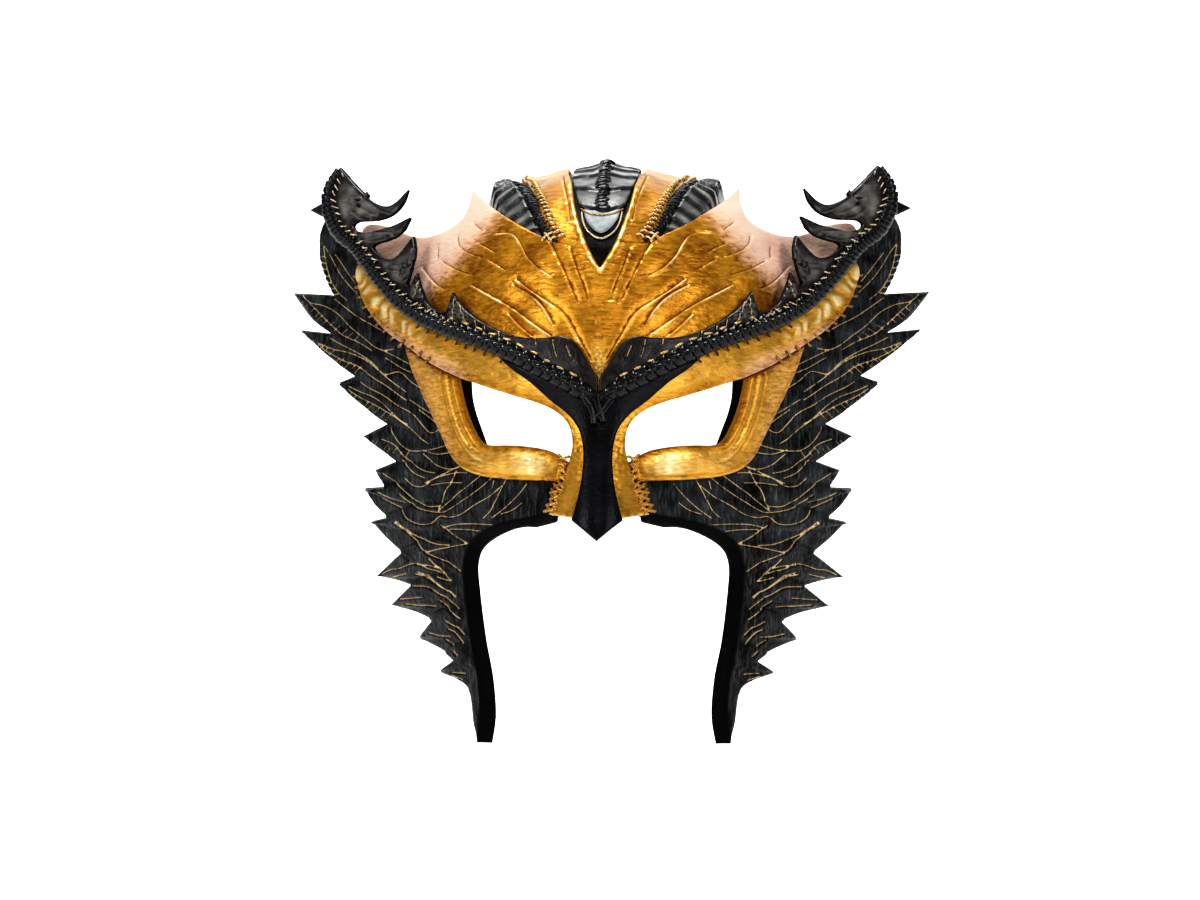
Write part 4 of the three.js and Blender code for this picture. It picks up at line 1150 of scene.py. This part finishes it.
# beak with its two arms under the brows
beak = {
    "spacing": 0.8, "edge": 0.8,
    "outline": [
        [(0, 8.4), (10, 12.6), (21, 17.9), (30, 22.2)],
        [(38.5, 25.4), (33.4, 20.8), (26.5, 16), (18.5, 9), (12, 4), (8, -1), (6.3, -6), (5.8, -12),
         (6.4, -20), (8, -28)], [(10.2, -35.8), (5.5, -39.4)], [(0, -43.8)]],
}


def makeBeak():
    loop = outlineLoop(beak["outline"], beak["spacing"], mirrored=True)
    flat, triangles, edgeGap = cutSheet(loop, beak["spacing"])
    places = seenPlace(faceSurface, flat, layers["top"])
    relief = -roundedEdge(edgeGap, beak["edge"])
    piece = leatherPiece("beak", places, triangles, relief, plainMarks(flat), blackSkins(beakSkin))
    handIn(piece, "black_leather", "beak")
    print("beak cut:", len(piece.data.polygons), "faces")


makeBeak()

# eyelids and eye frames
eyelid = {
    "spacing": 0.75, "edge": 0.7,
    "outline": [
        [(5.2, 7.5), (20.6, 19.6), (37, 27.7), (53.4, 33.7), (68.6, 39.7), (80, 48), (88.5, 58)],
        [(93, 63.5), (94.5, 56), (92.5, 48), (88.5, 41), (83, 35.4), (76.5, 30.6), (69.5, 25.8), (63, 21.8),
         (55, 18), (49, 16), (41.5, 13.5), (31.5, 10.5), (20, 6.8), (13.5, 2.4), (10.8, -2.4), (10.3, -8),
         (11.6, -13), (13.2, -19), (15.6, -25.6)], [(19.2, -33.6)],
        [(8.4, -35), (5.8, -28), (4.4, -20), (3.8, -12), (3.9, -5)]],
    "pillowPitch": 4.1, "pillowRise": 0.8, "pillowShine": 1.4, "pillowReach": (60, 73),
    "hammered": 0.14, "unevenness": 0.2, "bare": 0.46, "shine": 0.36, "stripShine": 0.36, "edgeShine": 0.5,
}
eyeFrame = {
    "spacing": 0.6, "edge": 0.6,
    "lining": [[(50.2, 17), (49.8, 10), (48.4, 4), (46.2, -2)],
               [(44, -8), (52, -8.8), (60.6, 5.4), (65.4, 18.1)],
               [(69.2, 27.6)], [(71.4, 33)], [(64, 27), (57, 21.5)]],
    "ridges": [(1.7, 1.5, 1.3), (4.6, 1.3, 0.9)],  # distance from the rim, half width, rise
    "hollow": (5.2, 6.4, 1.5),  # the same for the broad part below the eye
    "upright": (42, 50), "sideReach": (46, 58), "unevenness": 0.15,
    "bare": 0.3, "paleAndPaintedSheen": 0.52, "cornerPaintedHighlight": 0.4, "sidePaintedSheen": 0.3,
    "outline": [
        [(75.5, 29.2), (71.5, 18), (66.5, 7), (62, -2.5), (57.5, -11.5), (53, -16.2), (46.5, -19),
         (38, -20.2), (29, -20.8), (18, -20.8)], [(14.4, -20.4)],
        [(12.4, -13.6), (19, -9.8), (27, -8.2), (36, -7.6), (43, -7.6), (46.4, -5.8), (49.2, -1), (51.6, 5),
         (53.2, 11)], [(54.4, 17.2), (63, 21.1), (69.5, 25.1)]],
}


def makeEyelid():
    loop = outlineLoop(eyelid["outline"], eyelid["spacing"])
    flat, triangles, edgeGap = cutSheet(loop, eyelid["spacing"])
    places = seenPlace(faceSurface, flat, layers["mid"])
    x, z = flat[:, 0], flat[:, 1]
    line = spineLine()
    gap, place, _ = lineFoot(line, flat)
    along = np.interp(place, np.arange(len(line)), lengthsAlong(line))
    # pillows pulled up between the stitches of the spine, at the outer end
    pull = ramp(*eyelid["pillowReach"], x) * ramp(11.5, 8, gap) * (0.75 + 0.25 * waver(flat, 13, 17))
    turns = along / eyelid["pillowPitch"] + 0.35 * waver(flat, 9, 16)
    pillow = np.abs(np.sin(math.pi * turns))
    strip = ramp(2, -5, z)  # hammered strip beside the nose
    relief = eyelid["hammered"] * waver(flat, 1.7, 61) * strip + eyelid["pillowRise"] * pillow * pull
    relief += eyelid["unevenness"] * waver(flat, 11, 6) - roundedEdge(edgeGap, eyelid["edge"])
    # painted highlights on the crests of the pillows, along the nose strip's edges and over the strip, and
    # painted light over the whole lid
    edgeShine = eyelid["edgeShine"] * bump(0.5, edgeGap - 0.8) * (0.6 + 0.4 * waver(flat, 6, 62))
    stripShine = eyelid["stripShine"] * (0.5 + 0.5 * waver(flat * (1, 0.35), 1.8, 64))
    lip = eyelid["pillowShine"] * pillow ** 1.3 * pull * bump(3.4, gap - 6.8)
    lip = np.maximum(lip, strip * (edgeShine + stripShine))
    lip = np.maximum(lip, eyelid["shine"] * ramp(1, 4, edgeGap))
    marks = {
        "bare": eyelid["bare"] * ramp(5, 13, gap) * ramp(36, 60, x) * ramp(95, 80, x),
        # painted shade in the valleys between the pillows
        "lineGap": 0.08 + 1.8 * pillow + 5 * (1 - pull),
        "lip": np.clip(lip, 0, 1),
    }
    piece = leatherPiece("eyelid", places, triangles, relief, marks, goldSkins)
    handInPair(piece, "gold_leather", "eyelid", "eyelid")
    print("eyelid cut:", len(piece.data.polygons), "faces")


def makeEyeFrame():
    loop = outlineLoop(eyeFrame["outline"], eyeFrame["spacing"])
    flat, triangles, edgeGap = cutSheet(loop, eyeFrame["spacing"])
    places = seenPlace(faceSurface, flat, layers["mid"])
    x = flat[:, 0]
    rim = smoothRun(eyeFrame["outline"][2] + [eyeFrame["outline"][3][0]])
    gap = lineGap([rim], flat, 30)
    upright = ramp(*eyeFrame["upright"], x)
    below = ramp(8, 10, gap)
    ridges = -0.35 * bump(0.5, gap - 6.4)
    for off, half, rise in eyeFrame["ridges"]:
        ridges += rise * np.sqrt(np.clip(1 - ((gap - off) / half) ** 2, 0, 1))
    off, half, rise = eyeFrame["hollow"]
    broad = rise * np.clip(1 - ((gap - off) / half) ** 2, 0, 1) - 0.4 * bump(0.5, edgeGap - 1.4) * below
    relief = upright * ridges + (1 - upright) * broad
    relief += eyeFrame["unevenness"] * waver(flat, 9, 3) - roundedEdge(edgeGap, eyeFrame["edge"])
    # painted highlights and painted light: the gold is painted brighter along the lower edge, at the inner
    # corner and on the upright
    side = ramp(*eyeFrame["sideReach"], x)
    pressed = np.minimum(np.abs(gap - 3.2), np.abs(gap - 6.3)) / 1.6 + 5 * (1 - upright)
    lip = 0.55 * bump(0.45, edgeGap - 0.7) * below * ramp(56, 50, x)
    paleAndPaintedSheen = eyeFrame["paleAndPaintedSheen"] + eyeFrame["cornerPaintedHighlight"] * bump(5, x - 25.5)
    paleAndPaintedSheen = paleAndPaintedSheen * ramp(1.2, 3, edgeGap) * (0.8 + 0.2 * waver(flat * (0.3, 1), 1.4, 63)) * (1 - side)
    paleAndPaintedSheen = paleAndPaintedSheen + eyeFrame["sidePaintedSheen"] * side * ramp(0.5, 2, edgeGap)
    marks = {
        "bare": eyeFrame["bare"] * ramp(6, 9, gap) * side,
        # painted shade in the pressed grooves of the upright
        "lineGap": pressed,
        "lip": np.clip(np.maximum(lip, paleAndPaintedSheen), 0, 1),
    }
    piece = leatherPiece("eyeFrame", places, triangles, relief, marks, goldSkins)
    handInPair(piece, "gold_leather", "eyeFrame", "eye_frame")
    print("eye frame cut:", len(piece.data.polygons), "faces")


def makeEyeLining():
    # black leather that shows inside the outer corner of the eye, darkened all over with painted shade
    loop = outlineLoop(eyeFrame["lining"], eyeFrame["spacing"])
    flat, triangles, edgeGap = cutSheet(loop, eyeFrame["spacing"])
    places = seenPlace(faceSurface, flat, layers["low"])
    relief = -roundedEdge(edgeGap, eyeFrame["edge"])
    piece = leatherPiece("lining", places, triangles, relief, plainMarks(flat, 1.0), blackSkins(wingSkin))
    handInPair(piece, "black_leather", "eyeLining")


makeEyelid()
makeEyeFrame()
makeEyeLining()

# forehead with its two straps over the crown
forehead = {
    "spacing": 0.8, "edge": 0.7, "flare": 0.66,
    "outline": [
        [(0, 7.6), (19.2, 21.5), (36, 30), (52.4, 36.4), (67, 42.8), (77.6, 50.6), (86, 60.4)],
        [(91.5, 67), (93.5, 71), (91.5, 75), (85, 75.4), (77, 72.4), (69.5, 70.6), (61.5, 72.6), (54.2, 77.2),
         (51.2, 83)],
        [(50.3, 89.4), (44, 83.6), (33, 76.4), (22, 70.9)],
        [(15.8, 68.6), (19.2, 71.8), (22, 77), (26, 86), (29.2, 91)]],
    "bold": [0, 1, 2, 3, 6, 14],  # numbers of the lines that stand out
    "studs": [(39, 1.1), (33.4, 0.7)], "studRise": 0.45,  # small square stamps: z, half size
    "lipRise": 0.45, "furrow": 0.5, "furrowBank": 0.3, "unevenness": 0.3, "rimRise": 0.35, "faint": 0.3,
    "goldEnds": [(42.5, 77), (69, 46.5)], "fade": (-11, 11),  # beyond this line the gold fades to tan
    "strapOuter": [(31.6, 112), (34, 128), (35.8, 145), (36.8, 172)],  # x and step over the crown
    "strapInner": [(14.8, 172), (14.6, 145), (14.4, 128), (13.6, 114)],
    "notch": [[(12, 90.5), (10.4, 83), (8.2, 76), (4.8, 67.5)], [(0, 59)]],
}
foreheadLines = {"corner": (68.6, 99.4), "square": 0.0833, "lines": [
    [(345, 325), (430, 335), (490, 430), (540, 480), (600, 515)],
    [(445, 535), (520, 590), (600, 640), (670, 690), (730, 790), (790, 900)],
    [(430, 560), (520, 610), (580, 670), (620, 740)],
    [(235, 560), (330, 610), (420, 660), (520, 730), (610, 790)],
    [(600, 370), (640, 450), (680, 530), (710, 600), (730, 640)],
    [(690, 390), (720, 480), (752, 560), (772, 630)],
    [(410, 690), (470, 750), (520, 790)],
    [(240, 285), (275, 312)],
    [(165, 345), (175, 385), (215, 415), (280, 435)],
    [(270, 375), (310, 395), (345, 415)],
    [(75, 390), (72, 440)],
    [(95, 455), (160, 490), (240, 515)],
    [(310, 445), (350, 470), (390, 490)],
    [(0, 485), (60, 550), (110, 578)],
]}
strapLines = {"corner": (43.9, 100.1), "square": 0.075, "lines": [
    [(378, 92), (405, 180), (420, 240), (430, 310)],
]}


def stepOnCrown(surface, seen, height):
    # x and step of places of the crown's near side that show at x and z in the front view
    steps = np.linspace(0, 132, 265)
    x = np.repeat(seen[:, :1], len(steps), 1)
    step = np.repeat(steps[None], len(seen), 0)
    for turn in range(3):
        point = raised(surface, x, step, height(x, step))
        x = x + seen[:, :1] * (1 + point[..., 1] / view["distance"]) - point[..., 0]
    point = raised(surface, x, step, height(x, step))
    shown = frontView(point.reshape(-1, 3))[:, 1].reshape(step.shape)
    reached = shown >= seen[:, 1:]
    k = np.where(reached.any(1), reached.argmax(1), shown.argmax(1))
    k = np.maximum(k, 1)
    each = np.arange(len(seen))
    low, high = shown[each, k - 1], shown[each, k]
    part = np.clip((seen[:, 1] - low) / np.maximum(high - low, 1e-6), 0, 1)
    return np.stack([x[each, k], steps[k - 1] + part * (steps[k] - steps[k - 1])], -1)


def foreheadHeight(x, step):
    return layers["mid"] + layers["gap"] * ramp(40, 60, step)


def foreheadLoop(surface):
    # outline over the crown, the edge beside the strap and the notch in the middle
    spacing = forehead["spacing"]
    runs = forehead["outline"]
    half = []
    for i, run in enumerate(runs):
        chain = smoothRun(run + ([runs[i + 1][0]] if i + 1 < len(runs) else []))
        half.append(stepOnCrown(surface, evenRun(chain, spacing), foreheadHeight))
    half.append(np.array(forehead["strapOuter"]))
    strapEdge = np.vstack(half[3:5])
    half.append(np.array(forehead["strapInner"]))
    chain = smoothRun(forehead["notch"][0] + forehead["notch"][1])
    notch = stepOnCrown(surface, evenRun(chain, spacing), foreheadHeight)
    half = np.vstack(half + [notch])
    whole = np.vstack([half, (half[half[:, 0] > 0.05] * (-1, 1))[::-1]])
    whole = whole[np.linalg.norm(whole - np.roll(whole, 1, 0), axis=1) > 0.15]
    loop = evenRun(np.vstack([whole, whole[:1]]), spacing)[:-1]
    return loop, strapEdge, notch


def makeForehead():
    surface = crownSurface(forehead["flare"])
    loop, forehead["strapEdge"], notch = foreheadLoop(surface)
    lines = []
    for line in onSquares(foreheadLines) + onSquares(strapLines):
        onForm = stepOnCrown(surface, line, foreheadHeight)
        lines += [onForm, onForm * (-1, 1)]
    lines = evenRuns(lines)
    beside = [offsetRun(line, side) for line in lines for side in (-0.6, 0.6)]
    flat, triangles, edgeGap = cutSheet(loop, forehead["spacing"], lines + beside)
    places = raised(surface, flat[:, 0], flat[:, 1], foreheadHeight(flat[:, 0], flat[:, 1]))
    seen = frontView(places)
    x, z = np.abs(seen[:, 0]), seen[:, 1]
    # each line has a raised lip below it, painted with a highlight, and a soft bank above it
    tooled, _, above = nearestLine(lines, flat, 5)
    boldGap = lineGap([lines[2 * k + side] for k in forehead["bold"] for side in (0, 1)], flat, 5)
    lip = bump(0.35, tooled - 0.65) * ramp(0.25, -0.35, above)
    lip *= np.where(boldGap < tooled + 0.01, 1, forehead["faint"])
    relief = forehead["lipRise"] * lip - forehead["furrow"] * bump(0.4, tooled)
    relief -= forehead["furrowBank"] * bump(1.6, tooled) * (above > 0)
    relief += forehead["unevenness"] * waver(flat, 16, 5) - roundedEdge(edgeGap, forehead["edge"])
    lip *= 0.3 + 0.7 * np.clip(1.5 * waver(flat, 18, 55) + 0.5, 0, 1)
    # painted highlight along the raised rim of the notch
    rim = bump(0.8, lineGap([notch, notch * (-1, 1)], flat, 5) - 1.0)
    relief += forehead["rimRise"] * rim
    lip = np.maximum(lip, 0.75 * rim * np.clip(waver(flat, 5, 56) + 0.55, 0.15, 1))
    # the lines' painted highlights fade towards the nose, and a pale mottled point sits above it
    lip *= 0.4 + 0.6 * ramp(26, 40, z)
    tip = bump(4.5, x) * ramp(35, 26, z) * np.clip(0.55 + 0.6 * waver(flat, 1.6, 57), 0, 1)
    lip = np.maximum(lip, 0.6 * tip)
    # each stud is raised and gets a faint painted highlight
    for level, half in forehead["studs"]:
        stud = ramp(half + 0.5, half - 0.2, np.maximum(x, np.abs(z - level)))
        relief += forehead["studRise"] * stud
        lip = np.maximum(lip, 0.15 * stud)
    # gold fades to bare tan beyond a slanting line on each side
    start, end = np.array(forehead["goldEnds"])
    slant = unit(end - start)
    off = np.stack([x, z], -1) - start
    beyond = off[:, 1] * slant[0] - off[:, 0] * slant[1]
    # lip carries the painted highlights, which fade out where the gold turns to tan
    marks = {
        "bare": ramp(*forehead["fade"], beyond),
        "lineGap": tooled,
        "lip": np.clip(1.35 * lip, 0, 1) * ramp(6, -3, beyond),
    }
    piece = leatherPiece("foreheadPlate", places, triangles, relief, marks, goldSkins)
    handIn(piece, "gold_leather", "forehead_plate")
    print("forehead cut:", len(piece.data.polygons), "faces")


makeForehead()

# crown between and beside the straps
crown = {  # outlines in x and step over the crown
    "spacing": 0.8,
    "strip": [[(0, 46), (4, 46)], [(7, 52), (11, 72), (14.5, 100), (16.6, 130)], [(17, 172)], [(0, 172)]],
    "stripPaintedShade": 0.9,
    "crest": [[(0, 76), (4, 77)], [(8, 80), (9.6, 88), (11, 98), (12.2, 115)], [(12.4, 170)], [(0, 170)]],
    "crestWall": 0.7, "crestBase": 2.2, "crestHump": 1.7,
    "crestPleat": {"first": 76, "pitch": 13, "rise": 1.0, "bow": 0.35},
    "shield": [[(0, 66), (2.6, 67.6), (4.8, 71), (6.2, 75)], [(6.8, 81)], [(0, 82)]],
    "shieldHeight": 2.9, "shieldWall": 0.6,
    "shieldPiping": [(7.4, 77.5), (6.6, 71.5), (4.4, 66.6), (0, 63.6)],
    "crestPiping": [(7.8, 78.8), (4.4, 75.8), (0, 74.8)],
    "panel": [[(13, 58), (34, 58)], [(41, 76), (45.5, 100), (47, 120), (47, 150)], [(45, 170)],
              [(25, 170), (25, 150), (23, 120), (20, 100), (16.5, 76)]],
    "panelPleat": {"pitch": 6.5, "rise": 1.4, "slant": 0.3, "curl": 0.012}, "panelPuff": 6.5,
    "edge": 0.6, "thinEdge": 0.4, "unevenness": 0.2, "pleatShine": 1.3,
}


def crownPiece(name, loop, height, skin, wall, edge, pleats=None, paintedShade=0.0):
    flat, triangles, edgeGap = cutSheet(loop, crown["spacing"])
    places = raised(crownSurface(0), flat[:, 0], flat[:, 1], height(flat[:, 0], flat[:, 1]))
    marks = plainMarks(flat, paintedShade)
    if pleats:  # pale along the back of each pleat, dark in its fold
        # painted sheen along the back of each pleat and painted shade in its fold
        share = pleats(flat[:, 0], flat[:, 1]) % 1
        back = ramp(0.1, 0.3, share) * ramp(1.1, 0.5, share)
        marks["hairlinesAndPaintedSheen"] = crown["pleatShine"] * back * (0.6 + 0.4 * waver(flat, 7, 32))
        marks["plainAndPaintedShade"] = np.maximum(ramp(0.1, 0.03, share), ramp(0.94, 1, share))
    relief = crown["unevenness"] * waver(flat, 8, 31) * ramp(1, 3, edgeGap) - roundedEdge(edgeGap, edge)
    print(name, "cut:", len(triangles) * 2, "faces")
    return leatherPiece(name, places, triangles, relief, marks, blackSkins(skin), wall)


def softFold(phase):
    # leather laid in pleats: a slow fall, then a quick step up
    share = phase % 1
    return (1 - share) * ramp(0, 0.16, share)


def stripHeight(x, step):
    return layers["low"] + 0 * x


def shieldHeight(x, step):
    return crown["shieldHeight"] + 0 * x


def strapHeight(x, step):
    return layers["mid"] + layers["gap"] + 0 * x


def crestPleats(x, step):
    pleat = crown["crestPleat"]
    return (step - pleat["first"] - pleat["bow"] * np.abs(x)) / pleat["pitch"]


def crestHeight(x, step):
    fold = crown["crestPleat"]["rise"] * softFold(crestPleats(x, step))
    hump = crown["crestHump"] * bump(3.4, x) * ramp(84, 108, step)
    return crown["crestBase"] + crown["crestWall"] + fold + hump


def panelPleats(x, step):
    pleat = crown["panelPleat"]
    return (step + pleat["slant"] * x + pleat["curl"] * (x - 18) ** 2) / pleat["pitch"]


def panelHeight(x, step):
    # puffed between the strap and the outer edge
    inner = forehead["strapEdge"]
    outer = np.array(crown["panel"][0][1:] + crown["panel"][1] + crown["panel"][2])
    fromStrap = x - np.interp(step, inner[:, 1], inner[:, 0])
    fromEdge = np.interp(step, outer[:, 1], outer[:, 0]) - x
    free = ramp(0.4, 4.5, fromStrap) * ramp(-0.5, 6, fromEdge)
    fold = crown["panelPleat"]["rise"] * softFold(panelPleats(x, step)) * ramp(60, 68, step)
    return layers["wall"] + free * (crown["panelPuff"] * ramp(72, 98, step) + fold)


def makeCrown():
    strip, crest, shield = (outlineLoop(crown[name], crown["spacing"], mirrored=True)
                            for name in ("strip", "crest", "shield"))
    edge, thinEdge = crown["edge"], crown["thinEdge"]
    # painted shade: the black strip is darkened almost to plain black
    piece = crownPiece("crownStrip", strip, stripHeight, wingSkin, layers["wall"], edge,
                       paintedShade=crown["stripPaintedShade"])
    handIn(piece, "black_leather", "crown_strip")
    piece = crownPiece("crownCrest", crest, crestHeight, crownSkin, crown["crestWall"], thinEdge, crestPleats)
    handIn(piece, "black_leather", "crown_crest")
    piece = crownPiece("crownShield", shield, shieldHeight, greySkin, crown["shieldWall"], thinEdge)
    handIn(piece, "grey_leather", "crown_scale")
    panel = outlineLoop(crown["panel"], crown["spacing"])
    piece = crownPiece("crownPanel", panel, panelHeight, crownSkin, layers["wall"], edge, panelPleats)
    handInPair(piece, "black_leather", "crownPanel", "crown_side")


makeCrown()
crownThreads = {  # rows along the strap's edge, loose stitches at its foot, ladder along the crest
    "reach": (62, 140),
    "strapRow": {"pitch": 2.7, "across": (3.7, 0.9), "lean": 0.5, "shake": 0.4, "seed": 41,
                 "radius": 0.46, "lift": 0.8},
    "strapGaps": {"radius": 0.3, "lift": 0.35},
    "panelRow": {"pitch": 1.7, "across": (0.6, -3.2), "lean": 0.3, "shake": 0.6, "seed": 42,
                 "radius": 0.5, "lift": 0.9},
    "strapFoot": {"radius": 0.45, "lift": 0.8},
    "footStarts": [(22.4, 69.0), (21.4, 72.2), (19.4, 68.6)],
    "footEnds": [(17.8, 72.4), (18.6, 69.0), (16.8, 70.6)],
    "crestSeam": [(0, 79.0), (0, 150)],
    "crestLadder": {"pitch": 2.2, "across": (2.2, -2.2), "lean": 0.5, "shake": 0.8, "seed": 43,
                    "radius": 0.6, "lift": 1.0},
    "piping": {"radius": 0.36, "points": 40, "shieldHeight": 2.4, "crestHeight": 3.0},
}


def crownStitches(name, starts, ends, startHeight, endHeight, flare, skin):
    # stitches between places of the crown given by x and step
    surface = crownSurface(flare)
    height = startHeight(starts[:, 0], starts[:, 1])
    a = raised(surface, starts[:, 0], starts[:, 1], height)
    b = raised(surface, ends[:, 0], ends[:, 1], endHeight(ends[:, 0], ends[:, 1]))
    above = raised(surface, starts[:, 0], starts[:, 1], height + 1)
    return sewStitches(name, a, b, unit(above - a), crownThreads[name], skin)


def sewCrown():
    flare = forehead["flare"]
    edge = forehead["strapEdge"]
    low, high = crownThreads["reach"]
    edge = edge[(edge[:, 1] > low) & (edge[:, 1] < high)]
    starts, ends = acrossLine(edge, crownThreads["strapRow"])
    piece = crownStitches("strapRow", starts, ends, strapHeight, strapHeight, flare, goldThread)
    handInPair(piece, "gold_leather", "strapRow")
    starts, ends = (starts[1:] + starts[:-1]) / 2, (ends[1:] + ends[:-1]) / 2
    piece = crownStitches("strapGaps", starts, ends, strapHeight, strapHeight, flare, blackThread)
    handInPair(piece, "black_leather", "strapGaps")
    starts, ends = acrossLine(edge, crownThreads["panelRow"])
    piece = crownStitches("panelRow", starts, ends, strapHeight, panelHeight, 0, blackThread)
    handInPair(piece, "black_leather", "panelRow")
    starts, ends = (stepOnCrown(crownSurface(flare), np.array(crownThreads[name]), strapHeight)
                    for name in ("footStarts", "footEnds"))
    piece = crownStitches("strapFoot", starts, ends, strapHeight, strapHeight, flare, goldThread)
    handInPair(piece, "gold_leather", "strapFoot")
    starts, ends = acrossLine(np.array(crownThreads["crestSeam"]), crownThreads["crestLadder"])
    piece = crownStitches("crestLadder", starts, ends, crestHeight, crestHeight, 0, laceSkin)
    handIn(piece, "black_leather")
    print("crown sewn")


def pipeShield():
    # thin round edging along the shield and the crest's front
    piping = crownThreads["piping"]
    count, radius = piping["points"], piping["radius"]
    for title, skin in (("shield", paleThread), ("crest", bronzeThread)):
        half = np.array(crown[title + "Piping"])
        path = countedRun(smoothRun(np.vstack([half, half[-2::-1] * (-1, 1)])), count)
        height = np.full(count, piping[title + "Height"])
        middle = raised(crownSurface(0), path[:, 0], path[:, 1], height)
        above = raised(crownSurface(0), path[:, 0], path[:, 1], height + 1)
        piece = sweepTubes(title + "Piping", middle[None], (above - middle)[None], radius, radius, 8, skin)
        handIn(piece, "black_leather")


sewCrown()
pipeShield()

# stage and light
stage = {
    "floor": -260, "width": 6000, "front": -2500, "back": 1600, "rise": 3000, "bend": 700,
    "paper": [(0, "F7F7F7"), (1, "FCFCFC")], "glow": 0.9, "world": 0.17, "aim": (0, 0.04, 0),
    "boxes": {  # place, size, watts
        "topBox": ((-0.1, 0.05, 1.25), (0.7, 0.4), 20),
        "leftBox": ((-1.1, -0.85, 0.5), (0.35, 0.8), 8),
        "rightBox": ((1.1, -0.8, 0.45), (0.35, 0.8), 7),
        "frontBox": ((0.1, -1.6, 0.8), (0.5, 0.3), 4.5),
        "lowLeftBox": ((-0.85, -1.05, -0.12), (0.3, 0.5), 2),
        "lowRightBox": ((0.9, -1.0, -0.12), (0.3, 0.5), 2),
    },
    "printCurve": [(0.03, 0.012), (0.12, 0.09), (0.4, 0.4), (0.75, 0.83)],
}


def makeStage():
    # pale paper sweep: floor, wide bend, wall
    bpy.ops.object.select_all(action="DESELECT")
    depth = stage["back"] - stage["front"]
    middle = (stage["front"] + stage["back"]) / 2
    bpy.ops.mesh.primitive_plane_add(size=1, location=(0, middle * mm, stage["floor"] * mm))
    sweep = bpy.context.object
    sweep.name = "paperSweep"
    sweep.scale = (stage["width"] * mm, depth * mm, 1)
    bpy.ops.object.transform_apply(location=True, rotation=True, scale=True)
    bpy.ops.object.mode_set(mode="EDIT")
    bpy.ops.mesh.select_all(action="DESELECT")
    bpy.ops.object.mode_set(mode="OBJECT")
    for edge in sweep.data.edges:
        edge.select = all(sweep.data.vertices[v].co.y > stage["back"] * mm - 0.01 for v in edge.vertices)
    bpy.ops.object.mode_set(mode="EDIT")
    bpy.ops.mesh.select_mode(type="EDGE")
    bpy.ops.mesh.extrude_region_move(TRANSFORM_OT_translate={"value": (0, 0, stage["rise"] * mm)})
    bpy.ops.object.mode_set(mode="OBJECT")
    bend = sweep.modifiers.new("bend", "BEVEL")
    bend.width = stage["bend"] * mm
    bend.segments = 24
    bend.limit_method = "ANGLE"
    bpy.ops.object.modifier_apply(modifier="bend")
    bpy.ops.object.shade_smooth()
    material, tree, skin = newMaterial("whitePaper")  # seamless paper: matt, with a faint mottle
    at = addNode(tree, "ShaderNodeTexCoord").outputs["Object"]
    mottle = addNode(tree, "ShaderNodeTexNoise", {"Vector": at, "Scale": perMm(60)})
    tint = addNode(tree, "ShaderNodeValToRGB", {"Fac": mottle.outputs["Fac"]}, stage["paper"])
    # the wall itself glows, more further back: painted light in place of a lamp behind it, so that it stays
    # white without light on the mask's back
    spot = addNode(tree, "ShaderNodeSeparateXYZ", {"Vector": at})
    deep = addNode(tree, "ShaderNodeMapRange",
                   {"Value": spot.outputs["Y"], "From Min": 0.1, "From Max": 0.6, "To Max": stage["glow"]})
    wide = addNode(tree, "ShaderNodeMath", {0: spot.outputs["X"]}, operation="ABSOLUTE")
    sides = addNode(tree, "ShaderNodeMapRange",
                    {"Value": wide.outputs[0], "From Min": 1.0, "From Max": 1.3,
                     "To Min": 1.0, "To Max": 0.0})
    glow = addNode(tree, "ShaderNodeMath", {0: deep.outputs[0], 1: sides.outputs[0]}, operation="MULTIPLY")
    setInputs(tree, skin, {
        "Base Color": tint.outputs[0], "Roughness": 0.9, "Emission Color": (1, 1, 1, 1),
        "Emission Strength": glow.outputs[0]})
    sweep.data.materials.append(material)


def addSoftbox(name, place, aim, size, power):
    # square softbox pointing at a place
    place, aim = Vector(place), Vector(aim)
    turn = (aim - place).to_track_quat("-Z", "Y").to_euler()
    bpy.ops.object.light_add(type="AREA", location=place, rotation=turn)
    lamp = bpy.context.object
    lamp.name = name
    lamp.data.shape = "RECTANGLE"
    lamp.data.size, lamp.data.size_y = size
    lamp.data.energy = power


def lightStage():
    world = bpy.context.scene.world or bpy.data.worlds.new("studio")
    bpy.context.scene.world = world
    world.use_nodes = True
    setInputs(world.node_tree, world.node_tree.nodes["Background"],
              {"Color": (1, 1, 1, 1), "Strength": stage["world"]})
    for name, (place, size, power) in stage["boxes"].items():
        addSoftbox(name, place, stage["aim"], size, power)
    shown = bpy.context.scene.view_settings
    shown.view_transform = "Standard"
    shown.use_curve_mapping = True  # printed hard: deep blacks, clear lights
    for light, printed in stage["printCurve"]:
        shown.curve_mapping.curves[3].points.new(light, printed)
    shown.curve_mapping.update()


makeStage()
lightStage()
print("stage lit")

bpy.context.view_layer.update()
